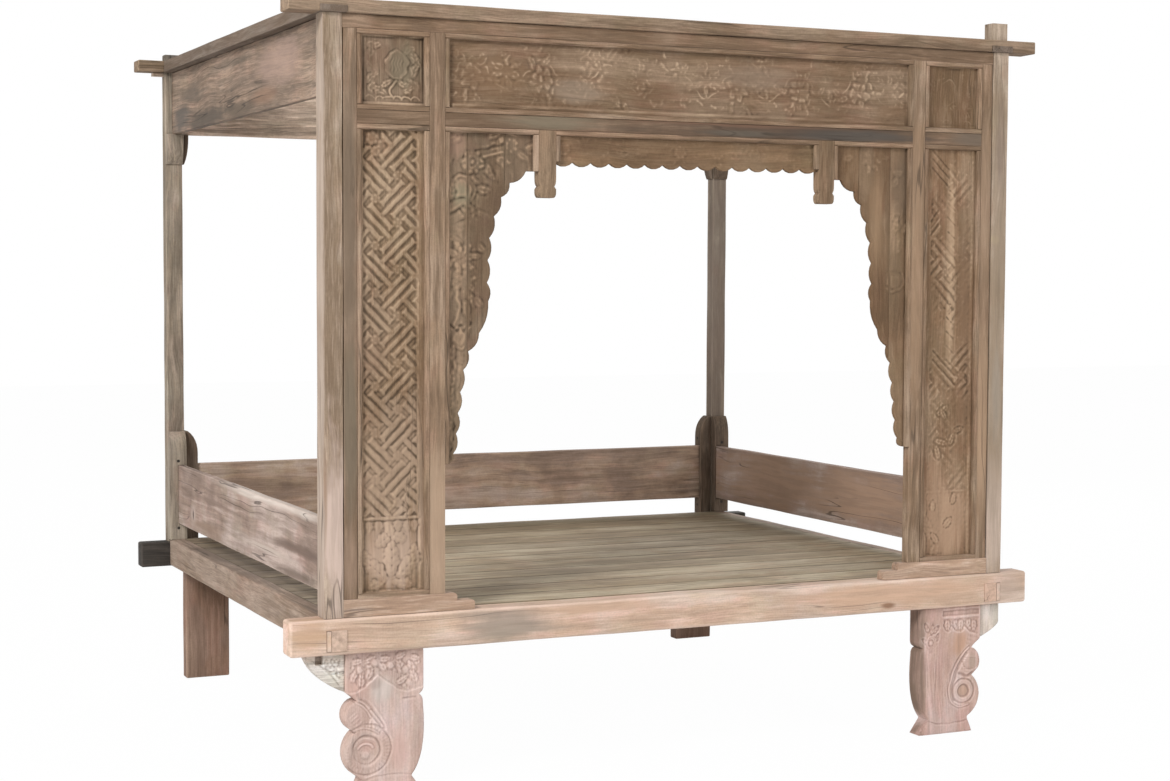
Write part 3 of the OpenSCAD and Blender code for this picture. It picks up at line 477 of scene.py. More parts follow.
# The carver's ground: heights in millimetres over a board's face, cut or raised by strokes
class Carving:
    def __init__(self, left, right, low, high, step, deep):
        self.left, self.low, self.step, self.deep = left, low, step, deep
        self.columns, self.rows = int(math.ceil((right - left) / step)), int(math.ceil((high - low) / step))
        self.right, self.high = left + self.columns * step, low + self.rows * step
        self.x, self.z = np.meshgrid(np.linspace(self.left, self.right, self.columns + 1),
                                     np.linspace(self.low, self.high, self.rows + 1))
        self.height = np.zeros_like(self.x)

    def near(self, x, z, reach):
        # the part of the grid that lies within reach
        i0 = int(np.clip((x - reach - self.left) / self.step, 0, self.columns))
        i1 = int(np.clip((x + reach - self.left) / self.step + 2, 1, self.columns + 1))
        j0 = int(np.clip((z - reach - self.low) / self.step, 0, self.rows))
        j1 = int(np.clip((z + reach - self.low) / self.step + 2, 1, self.rows + 1))
        return (slice(j0, j1), slice(i0, i1))

    def laid(self, area, t, shape, moat=0.35):
        # a form laid over what is there, where t is below 1, with a cut round its edge
        around = np.clip((1 + moat - t) / moat, 0, 1)
        self.height[area] = np.where(t < 1, shape, self.height[area] * (1 - 0.8 * around))

    def disc(self, x, z, reach):
        # the same, with each grid point's distance from x, z
        area = self.near(x, z, reach)
        return area, np.hypot(self.x[area] - x, self.z[area] - z)

    def flower(self, x, z, radius, petals, tall, turn=0.0, rings=1):
        area, away = self.disc(x, z, radius * 1.25)
        angle = np.arctan2(self.z[area] - z, self.x[area] - x)
        lobe = np.abs(np.cos(petals * (angle - turn) / 2))
        t = away / (radius * (0.74 + 0.26 * lobe ** 0.6))
        shape = tall * np.clip(1 - t ** 6, 0, 1) ** 0.5 * (0.58 + 0.42 * t) + 0.1
        shape -= 0.55 * tall * np.clip(1 - lobe * 3.0, 0, 1)
        if rings > 1:                                  # an inner row of petals
            inner = np.abs(np.sin(petals * (angle - turn) / 2))
            s = away / (radius * 0.58 * (0.72 + 0.28 * inner ** 0.6))
            shape = np.where(s < 1, tall * (0.62 + 0.36 * s) - 0.5 * tall * np.clip(1 - inner * 3, 0, 1),
                             np.where(s < 1.18, shape * 0.55, shape))
        core = away / (radius * 0.22)
        shape = np.where(core < 1.3, 0.35 * tall, shape)
        shape = np.where(core < 1, tall * (0.55 + 0.45 * np.sqrt(np.clip(1 - core ** 2, 0, 1))), shape)
        self.laid(area, t, np.maximum(shape, 0.1), 0.18)

    def leaf(self, x, z, long, wide, angle, tall, bend=0.0, lobes=4):
        # a lobed leaf from its stalk at x, z, with a groove down its middle and slanted ribs
        area = self.near(x, z, long * 1.15 + abs(bend) * long)
        dx, dz = self.x[area] - x, self.z[area] - z
        turn = math.radians(angle)
        u = (dx * math.cos(turn) + dz * math.sin(turn)) / long
        v = -dx * math.sin(turn) + dz * math.cos(turn) - bend * long * np.clip(u, 0, 1) ** 2
        inside = np.clip(u, 0, 1)
        half = wide / 2 * np.sin(math.pi * inside ** 0.8) ** 0.75
        if lobes:
            half = half * (0.80 + 0.26 * np.abs(np.sin(lobes * math.pi * inside)))
        half = np.maximum(half, 1e-2)
        t = np.where((u > 0) & (u < 1), np.abs(v) / half, 9)
        shape = tall * np.clip(1 - t ** 5, 0, 1) ** 0.5 * (0.55 + 0.45 * np.clip(1 - t, 0, 1)
                                                           + 0.1 * np.sin(math.pi * inside))
        shape -= 0.55 * tall * np.exp(-(v / 1.6) ** 2)
        ribs = np.sin(math.tau * (lobes + 1) * (inside - np.abs(v) / long * 0.9))
        shape -= 0.30 * tall * np.clip(ribs, 0, 1) ** 2
        self.laid(area, t, np.maximum(shape, 0.2))

    def leaves(self, rows, *look, middle=0, mirror=1):
        # many leaves of one look, each row a leaf's place, length, width and angle
        for x, z, long, wide, angle in rows:
            self.leaf(middle + x * mirror, z, long, wide, angle if mirror > 0 else 180 - angle, *look)

    def bud(self, x, z, wide, tallness, angle, tall, rim=True):
        # a smooth oval swelling, with or without a rim
        area = self.near(x, z, max(wide, tallness) * 1.3)
        dx, dz = self.x[area] - x, self.z[area] - z
        turn = math.radians(angle)
        u = (dx * math.cos(turn) + dz * math.sin(turn)) / wide
        v = (-dx * math.sin(turn) + dz * math.cos(turn)) / tallness
        t = np.hypot(u, v)
        shape = tall * (0.45 + 0.55 * np.sqrt(np.clip(1 - t ** 2, 0, 1)))
        if rim:
            shape = np.where(t > 0.86, tall * 0.75, np.where(t > 0.76, tall * 0.35, shape))
        self.laid(area, t, shape, 0.16)

    def strokeAway(self, points, reach):
        # each grid point's distance from a stroke, and how far along the stroke it lies, from 0 to 1
        points = curve(points) if 2 < len(points) < 16 else np.array(points, float)
        middle = (points.min(0) + points.max(0)) / 2
        area = self.near(middle[0], middle[1], np.max(points.max(0) - points.min(0)) / 2 + reach)
        x, z = self.x[area], self.z[area]
        best, run = np.full(x.shape, 1e9), np.zeros(x.shape)
        total = 0.0
        for (x0, z0), (x1, z1) in zip(points[:-1], points[1:]):
            dx, dz = x1 - x0, z1 - z0
            long = math.hypot(dx, dz) or 1e-6
            t = np.clip(((x - x0) * dx + (z - z0) * dz) / long ** 2, 0, 1)
            away = np.hypot(x - x0 - t * dx, z - z0 - t * dz)
            closer = away < best
            best = np.where(closer, away, best)
            run = np.where(closer, total + t * long, run)
            total += long
        return area, best, run / total

    def stem(self, points, wide=6.0, tall=3.2, taper=0.0):
        area, away, run = self.strokeAway(points, wide)
        t = away / (wide / 2 * (1 - taper * run))
        self.laid(area, t, tall * np.sqrt(np.clip(1.05 - t ** 2, 0.05, 1)), 0.5)

    def groove(self, points, wide, cut):
        area, away = self.strokeAway(points, wide * 1.5)[:2]
        t = away / (wide / 2)
        self.height[area] -= cut * np.clip(1 - t ** 2, 0, 1)

    def handCut(self, amount, size, seed):
        # nothing cut by hand is quite true, so the whole pattern wanders a little
        x = self.x + amount * cloud(self.x, self.z, size, seed)
        z = self.z + amount * cloud(self.x, self.z, size, seed + 1)
        self.height = self.at(self.height, x, z)

    def soften(self, reach, height=None):
        # the heights, or another field, averaged over reach twice
        field = self.height if height is None else height
        count = max(1, int(round(reach / self.step)))
        for _ in range(2):
            for axis in (0, 1):
                padded = np.pad(field, [(count, count) if a == axis else (0, 0) for a in (0, 1)], mode="edge")
                running = np.cumsum(padded, axis=axis)
                zero = np.zeros_like(np.take(running, [0], axis=axis))
                running = np.concatenate([zero, running], axis=axis)
                wide = 2 * count + 1
                size = field.shape[axis]
                field = (np.take(running, range(wide, wide + size), axis=axis)
                         - np.take(running, range(0, size), axis=axis)) / wide
        return field

    def at(self, field, x, z):
        # the field's value between the grid's points
        i = np.clip((x - self.left) / self.step, 0, self.columns - 1e-6)
        j = np.clip((z - self.low) / self.step, 0, self.rows - 1e-6)
        i0, j0 = i.astype(int), j.astype(int)
        a, b = i - i0, j - j0
        return (field[j0, i0] * (1 - a) * (1 - b) + field[j0, i0 + 1] * a * (1 - b)
                + field[j0 + 1, i0] * (1 - a) * b + field[j0 + 1, i0 + 1] * a * b)


def arcPoints(x, z, wide, tall, start, end, count):
    return [(x + dx, z + dz) for dx, dz in (turned(a, wide, tall) for a in np.linspace(start, end, count))]


def spiral(x, z, start, end, turns, angle, count):
    # points of a scroll, from radius start to radius end
    points = []
    for i in range(count + 1):
        t = i / count
        a = math.radians(angle) + turns * math.tau * t
        r = start + (end - start) * t
        points.append((x + r * math.cos(a), z + r * math.sin(a)))
    return points


def standsOn(name, carving):
    # the CAD node's copy, its front and its back, and which of the carving's points lie on it
    bm = cadCopy(name)
    low, high = corners(bm.verts)
    tree = BVHTree.FromBMesh(bm)
    reach = 0.012 + (high[1] - low[1])
    inside = np.zeros(carving.x.size)
    for i, (x, z) in enumerate(zip((carving.x.ravel() / 1000).tolist(), (carving.z.ravel() / 1000).tolist())):
        inside[i] = tree.ray_cast(Vector((x, low[1] - 0.01, z)), Vector((0, 1, 0)), reach)[0] is not None
    return bm, low[1], high[1], inside.reshape(carving.x.shape)


# Cuts the carving into the front of a CAD node's copy: a slab with the carved face, kept where it is in the node.
# edge is how far the outline is worn round, gain how strongly the hollows are painted dark, as dirt and painted
# shade, and the ridges pale, as wear and painted highlight, and rim the share of that by it.
def carve(name, carving, material, slot, edge, gain=1.0, seed=1, rim=0.3):
    bm, front, behind, inside = standsOn(name, carving)
    board = bpy.data.meshes.new(name + "_board")
    bm.to_mesh(board)
    bm.free()
    wide = carving.right - carving.left
    tall = carving.high - carving.low
    hollow = (carving.soften(4.6) - carving.height) / 5.0 + (carving.soften(2.2) - carving.height) / 2.6
    if edge > 0:                                       # less of it along the outline
        hollow *= np.clip((carving.soften(9.0, inside) - 0.84) / 0.12, rim, 1)
    ramp = np.clip(carving.soften(edge, inside) * 2 - 1, 0, 1)
    fall = 1 - np.sqrt(np.clip(1 - (1 - ramp) ** 2, 0, 1))
    carving.height = carving.height - edge * 0.75 * fall * (edge > 0)
    depth = np.clip(carving.deep - carving.height, 0.2, carving.deep + 3) / 1000

    slab = bmesh.new()
    bmesh.ops.create_grid(slab, x_segments=carving.columns, y_segments=carving.rows, size=0.5)
    border = [e for e in slab.edges if e.is_boundary]
    sides = bmesh.ops.extrude_edge_only(slab, edges=border)["geom"]
    back = [e for e in sides if isinstance(e, bmesh.types.BMEdge) and e.is_boundary]
    for vert in {v for e in back for v in e.verts}:
        vert.co.z = 1
    bmesh.ops.holes_fill(slab, edges=back, sides=0)
    tool = bpy.data.meshes.new(name + "_tool")
    slab.to_mesh(tool)
    slab.free()
    points = pointsOf(tool)
    x = carving.left + (points[:, 0] + 0.5) * wide
    z = carving.low + (points[:, 1] + 0.5) * tall
    isBack = points[:, 2] > 0.5
    y = np.where(isBack, behind + 0.01, front + carving.at(depth, x, z))
    setPoints(tool, np.stack([x / 1000, y, z / 1000], 1))
    check = bmesh.new()
    check.from_mesh(tool)
    bmesh.ops.recalc_face_normals(check, faces=check.faces[:])
    check.to_mesh(tool)
    check.free()

    body = bpy.data.objects.new("carver_body", board)
    cutter = bpy.data.objects.new("carver_tool", tool)
    for item in (body, cutter):
        scene.collection.objects.link(item)
    keep = body.modifiers.new("keep", "BOOLEAN")
    keep.operation = "INTERSECT"
    keep.solver = "MANIFOLD"
    keep.object = cutter
    bpy.context.view_layer.update()
    mesh = bpy.data.meshes.new_from_object(body.evaluated_get(bpy.context.evaluated_depsgraph_get()))
    mesh.name = name + "_carved"
    for item in (body, cutter):
        bpy.data.objects.remove(item)
    points = pointsOf(mesh)
    # how hollow each point is: painted dark there as dirt and painted shade, and pale on ridges as wear and painted
    # highlight
    cut = np.clip(0.5 + gain * hollow, 0, 1)
    value = np.where(points[:, 1] < front + carving.deep / 1000 + 0.004,
                     carving.at(cut, points[:, 0] * 1000, points[:, 2] * 1000), 0.5)
    setAttribute(mesh, "cut", "FLOAT", value)
    print(name, "carved:", len(mesh.polygons), "faces")
    return place(mesh, name + "_carved", [name], material, slot, smooth=40, seed=seed)


# the tone, pale and dark colour of each group of timbers, as they show in daylight
woods = {
    "frontPost": ((162, 143, 122), (200, 181, 163), (108, 88, 69)),
    "frame": ((147, 123, 101), (182, 158, 136), (92, 72, 54)),
    "rail": ((134, 112, 92), (174, 151, 128), (88, 70, 54)),
    "panel": ((150, 125, 101), (182, 158, 132), (92, 72, 52)),
    "arch": ((130, 107, 86), (164, 138, 112), (78, 59, 42)),
    "board": ((146, 125, 108), (176, 152, 134), (84, 73, 63)),
    "guard": ((168, 149, 139), (198, 179, 168), (104, 85, 73)),
    "rearPost": ((152, 139, 123), (182, 168, 152), (88, 78, 68)),
    "beam": ((211, 186, 169), (230, 208, 193), (154, 127, 107)),
    "deck": ((184, 166, 138), (208, 192, 166), (124, 107, 84)),
    "leg": ((216, 192, 185), (232, 213, 207), (154, 126, 116)),
    "rearLeg": ((148, 119, 103), (176, 150, 132), (88, 67, 54)),
    "dark": ((58, 53, 48), (86, 79, 73), (38, 34, 31)),
    # darker, as painted shade, for the cleats and corbels that face the bed's inside
    "cleat": ((112, 96, 82), (146, 128, 112), (66, 54, 44)),
    "peg": ((222, 196, 178), (234, 212, 196), (140, 112, 94)),
}


def wood(name, group, **more):
    # a group's wood, with whatever is given in more
    return oldWood(name, **{**dict(zip(("tone", "pale", "dark"), woods[group])), **more})


patchReach = 0.05                                        # how deep a patch on a face reaches into the wood


def onFront(y, rows):
    # patches on a face that looks forward, each its x, z, reach in x and z, colour and strength
    return [((x, y, z), (wide, patchReach, tall), colour, strength) for x, z, wide, tall, colour, strength in rows]


def onSide(x, rows):
    # the same on a face that looks sideways, with y in place of x
    return [((x, y, z), (patchReach, deep, tall), colour, strength) for y, z, deep, tall, colour, strength in rows]


def timbers(names, material, slot, shape, seed):
    # timbers of one kind, each with the next seed
    for i, name in enumerate(names):
        timber(name, material, slot, **shape, seed=seed + i)


# deck and beams, with how far each is worn round and how far out of true it is, in metres
beams = {"softened": 0.0095, "wave": 0.0014}
planks = {"softened": 0.0022, "wave": 0.0010}
bearers = {"softened": 0.003, "wave": 0.0009}
wedges = {"softened": 0.0012, "wave": 0.0003}
pegs = {"softened": 0.0006, "wave": 0.0001}
beamFront = wood("beam_front_teak", "beam", streaks=0.42, lime=0.3, stain=0.15, fine=0.16, blotches=(
    ((-0.575, -0.936, 0.45), (0.18, 0.06, 0.06), (152, 140, 128), 0.8),
    ((0.70, -0.936, 0.46), (0.40, 0.06, 0.04), (206, 170, 144), 0.6),
    ((-0.30, -0.936, 0.48), (0.25, 0.06, 0.02), (192, 160, 136), 0.7),
    ((1.14, -0.936, 0.45), (0.07, 0.06, 0.06), (180, 158, 142), 0.7),
    ((-1.15, -0.936, 0.46), (0.06, 0.06, 0.05), (196, 162, 132), 0.6),
    ((0.69, -0.944, 0.421), (0.03, 0.06, 0.012), (132, 96, 70), 0.8)))
beamSide = wood("beam_side_teak", "beam", tone=(158, 138, 122), pale=(186, 166, 150), dark=(106, 86, 70), lime=0.35,
                stain=0.4, clouds=0.8, blotches=(
    ((-1.06, -0.96, 0.45), (0.3, 0.05, 0.3), (204, 177, 158), 1.0),
    ((1.06, -0.96, 0.45), (0.3, 0.05, 0.3), (204, 172, 152), 1.0),
    # a painted shadow along the top of the left side beam
    ((-1.08, 0.10, 0.505), (0.10, 1.2, 0.010), (110, 94, 82), 0.9)))
beamRear = wood("beam_rear_teak", "dark")
timbers(["front_beam"], beamFront, "beam_wood", beams, 11)
timbers(["rear_beam"], beamRear, "dark_wood", beams, 12)
timbers(["left_side_beam", "right_side_beam"], beamSide, "beam_wood", beams, 13)

deck = wood("deck_teak", "deck", varied=0.45, cracks=0.5, stain=0.35, streaks=0.68, clouds=0.8, soiled=True,
            arris=1.2, blotches=(
    # a painted shadow along the deck's left edge, beside the left guard board
    ((-1.06, 0.0, 0.49), (0.16, 1.4, 0.10), (112, 98, 84), 0.9),
    ((1.04, 0.1, 0.49), (0.08, 1.2, 0.10), (128, 116, 92), 0.7),
    ((0.1, 0.80, 0.49), (1.2, 0.08, 0.10), (128, 116, 92), 0.7)))
timbers(["deck_planks"], deck, "deck_wood", planks, 21)
timbers(["deck_bearers"], wood("bearer_teak", "rearLeg"), "deck_wood", bearers, 22)
wedgeWood = wood("wedge_teak", "peg", streaks=0.1, fine=0.0, lime=0.2, clouds=0.2, varied=0.0, cracks=0.0, stain=0.0,
                 soiled=True, arris=1.2)
timbers(["tenon_wedges"], wedgeWood, "peg_wood", wedges, 23)
timbers(["cleat_pegs"], wood("peg_teak", "dark", fine=0.0, cracks=0.0), "peg_wood", pegs, 24)
print("deck and beams are laid")

# posts, rails and boards
posts = {"softened": 0.0040, "wave": 0.0012}
topRails = {"softened": 0.004, "wave": 0.0010}
canopy = {"softened": 0.003, "wave": 0.0012}
guards = {"softened": 0.004, "wave": 0.0014}
cleats = {"softened": 0.0025, "wave": 0.0006, "outline": True}
rearLegs = {"softened": 0.005, "wave": 0.0014}
postFront = wood("post_front_teak", "frontPost", streaks=0.75, lime=0.45, stain=0.3, clouds=0.7, blotches=(
    ((-1.07, -0.93, 0.72), (0.08, 0.08, 0.32), (206, 184, 172), 0.75),
    ((-1.106, -0.94, 0.84), (0.009, 0.02, 0.18), (148, 116, 90), 0.7),
    ((-1.113, -0.90, 1.30), (0.009, 0.12, 2.20), (172, 155, 141), 0.85),
    ((1.08, -0.93, 0.65), (0.08, 0.08, 0.25), (204, 184, 170), 0.6),
    ((1.066, -0.94, 1.548), (0.022, 0.03, 0.02), (196, 176, 144), 0.9),
    ((1.08, -0.93, 1.35), (0.05, 0.05, 0.75), (142, 124, 104), 0.7),
    ((1.085, -0.93, 1.80), (0.020, 0.05, 0.16), (128, 110, 96), 0.7),
    ((1.085, -0.93, 1.05), (0.022, 0.05, 0.20), (152, 140, 126), 0.7)))
postRear = wood("post_rear_teak", "rearPost", stain=0.35, blotches=(
    ((-1.08, 0.9, 2.19), (0.1, 0.1, 0.05), (84, 78, 72), 0.8),
    # painted shade over the right rear post, whose seen faces look into the bed
    ((1.08, 0.9, 1.4), (0.1, 0.1, 0.9), (112, 97, 87), 0.6)))
timbers(["left_front_post", "right_front_post"], postFront, "post_wood", posts, 45)
timbers(["left_rear_post", "right_rear_post"], postRear, "rear_post_wood", posts, 54)

railX = wood("rail_teak", "rail", lime=0.3, stain=0.35)
railY = wood("rail_side_teak", "rail", tone=(102, 90, 80), pale=(140, 125, 112), stain=0.4)
timbers(["front_top_rail", "rear_top_rail"], railX, "rail_wood", topRails, 51)
timbers(["left_top_rail", "right_top_rail"], railY, "rail_wood", topRails, 53)

boardSide = wood("canopy_side_teak", "board", lime=0.35, stain=0.75, clouds=0.8, blotches=onSide(-1.09, (
    (-0.44, 2.04, 0.26, 0.07, (166, 140, 126), 0.6),
    (-0.27, 1.955, 0.16, 0.03, (136, 106, 86), 0.6),
    (0.02, 1.93, 0.22, 0.03, (92, 80, 68), 0.8),
    (0.45, 1.93, 0.35, 0.04, (84, 75, 66), 0.85),
    (0.62, 2.03, 0.20, 0.04, (96, 86, 76), 0.7),
    (0.76, 1.955, 0.16, 0.07, (92, 86, 80), 0.85),
    (0.15, 2.09, 0.35, 0.02, (100, 88, 76), 0.7))))
boardRear = wood("canopy_rear_teak", "board", tone=(212, 186, 165), pale=(234, 212, 192), streaks=0.6, stain=0.75,
                 clouds=0.8)
timbers(["left_canopy_board", "right_canopy_board"], boardSide, "board_wood", canopy, 61)
timbers(["rear_canopy_board"], boardRear, "board_wood", canopy, 63)

guardY = wood("guard_side_teak", "guard", streaks=0.45, lime=0.6, stain=0.5, cracks=0.7, clouds=0.9, fine=0.08,
              blotches=(
    ((-1.09, -0.58, 0.645), (0.05, 0.34, 0.022), (112, 93, 82), 1.0),
    ((-1.09, -0.30, 0.605), (0.05, 0.30, 0.014), (192, 176, 164), 0.7),
    ((-1.09, 0.36, 0.680), (0.05, 0.28, 0.016), (128, 108, 96), 0.8),
    ((-1.09, -0.545, 0.566), (0.05, 0.25, 0.02), (104, 88, 76), 0.8),
    ((-1.09, 0.12, 0.70), (0.05, 0.25, 0.015), (124, 104, 90), 0.7),
    ((-1.09, 0.646, 0.609), (0.05, 0.045, 0.04), (186, 168, 158), 0.6),
    ((-1.09, 0.646, 0.609), (0.05, 0.010, 0.022), (58, 47, 40), 1.0),
    ((-1.09, -0.30, 0.755), (0.05, 0.70, 0.020), (212, 199, 188), 0.9),
    ((-1.09, 0.45, 0.58), (0.05, 0.25, 0.03), (142, 118, 100), 0.6),
    ((1.06, 0.2, 0.66), (0.05, 0.9, 0.12), (168, 138, 115), 0.8)))
guardX = wood("guard_back_teak", "guard", tone=(186, 161, 140), streaks=0.5, stain=0.5, cracks=0.5, clouds=0.9,
              fine=0.14, blotches=onFront(0.86, (
    (-0.20, 0.60, 0.9, 0.03, (188, 160, 140), 0.5),
    (0.45, 0.66, 0.30, 0.03, (120, 98, 82), 0.6))))
timbers(["left_guard_board", "right_guard_board"], guardY, "guard_wood", guards, 71)
timbers(["back_guard_board"], guardX, "guard_wood", guards, 73)
# cleats and corbels that face the bed's inside are painted darker than the rear posts: painted shade
shadedCleatWood = wood("shaded_cleat_teak", "cleat", stain=0.4)
for kind, seed in (("cleat", 80), ("corbel", 84)):
    timbers([f"left_side_{kind}"], postRear, "rear_post_wood", cleats, seed)
    timbers([f"right_side_{kind}", f"left_back_{kind}", f"right_back_{kind}"], shadedCleatWood, "rear_post_wood", cleats,
            seed + 1)
for name, seed in (("left_rear_leg", 90), ("right_rear_leg", 91)):
    timbers([name], wood(name + "_teak", "rearLeg", streaks=0.45, fine=0.14), "rear_leg_wood", rearLegs, seed)
print("posts, rails and boards are up")

# the front screen's frame
stiles = {"softened": 0.0025, "wave": 0.0007}
sills = {"softened": 0.003, "wave": 0.0008, "outline": True}
beads = {"softened": 0.001, "wave": 0.0003, "along": "ring"}
frameZ = wood("stile_teak", "frame", streaks=0.75, lime=0.4, stain=0.35, clouds=0.7, blotches=(
    ((-1.035, -0.93, 1.55), (0.03, 0.03, 0.55), (112, 96, 80), 0.85),
    ((-1.035, -0.93, 1.00), (0.03, 0.03, 0.30), (110, 98, 82), 0.85),
    ((-1.035, -0.93, 0.65), (0.03, 0.03, 0.12), (150, 126, 108), 0.6),
    ((-0.78, -0.93, 0.7), (0.06, 0.06, 0.3), (182, 156, 132), 0.6),
    ((1.005, -0.935, 1.352), (0.008, 0.02, 0.012), (80, 62, 48), 0.9),
    ((1.03, -0.93, 1.00), (0.03, 0.03, 0.40), (172, 143, 116), 0.7),
    ((0.78, -0.93, 1.45), (0.03, 0.03, 0.60), (160, 132, 106), 0.6),
    ((1.03, -0.93, 1.65), (0.03, 0.03, 0.30), (160, 134, 110), 0.6)))
frameX = wood("screen_rail_teak", "frame", tone=(115, 95, 77), pale=(148, 125, 104), stain=0.4, clouds=0.7,
              blotches=onFront(-0.935, (
    (0.30, 1.855, 0.65, 0.06, (85, 69, 57), 1.0),
    (0.10, 1.872, 0.40, 0.012, (112, 84, 68), 0.7),
    (0.55, 1.850, 0.28, 0.018, (78, 72, 66), 0.9),
    (0.15, 1.846, 0.16, 0.012, (92, 84, 74), 0.8),
    (-0.45, 1.858, 0.18, 0.03, (122, 112, 94), 0.7),
    (0.98, 1.855, 0.10, 0.03, (106, 94, 82), 0.7))))
sillX = wood("sill_teak", "beam", tone=(180, 152, 130))
headX = wood("head_rail_teak", "frame", tone=(130, 107, 87), pale=(164, 140, 118), stain=0.4, clouds=0.7)
timbers(["left_outer_stile", "right_outer_stile", "left_inner_stile", "right_inner_stile"], frameZ, "frame_wood",
        stiles, 100)
timbers(["screen_head_rail"], headX, "frame_wood", stiles, 110)
timbers(["screen_middle_rail", "left_middle_rail", "right_middle_rail"], frameX, "frame_wood", stiles, 111)
timbers(["left_sill", "right_sill"], sillX, "frame_wood", sills, 120)
timbers(["panel_beads", "arch_beads"], wood("bead_teak", "frame"), "bead_wood", beads, 130)
print("screen frame is up")

# long panels with the key fret, in millimetres
carvedLook = {"streaks": 0.3, "fine": 0.16, "cracks": 0.3, "clouds": 0.6, "lime": 0.3, "stain": 0.25}
fret = {"unit": 22.5, "x": -893.7, "z": 1634.5, "bar": 0.29, "deep": 4.6, "flower": 0.62}
longPanels = {"step": 2.0, "deepest": 4.8, "fretFrom": 762, "fretTo": 1820, "leavesFrom": 566, "leavesTall": 4.7}


def keyFret(x, z, unit):
    # bars of the fret, 1 on a bar and 0 on the ground, in groups of three that lie one way and then the other
    p, q = (x + z) / math.sqrt(2) / unit, (x - z) / math.sqrt(2) / unit
    i, j = np.round(p / 4), np.round(q / 4)
    a, b = p - 4 * i, q - 4 * j
    odd = np.mod(i + j, 2) > 0.5
    a, b = np.where(odd, b, a), np.where(odd, a, b)
    bar = fret["bar"]
    flare = 0.26 * np.clip((np.abs(a) - 1.45) / 0.5, 0, 1) ** 2
    away = np.minimum(np.where(np.abs(a) < 2.02, np.abs(b) - bar, 9),
                      np.where(np.abs(a) < 2.0, np.abs(np.abs(b) - 1) - bar - flare, 9))
    away = np.minimum(away, np.where(np.abs(b) > 0.9, np.abs(a) - bar, 9))
    return np.clip(0.5 - away * unit / 2.6, 0, 1)


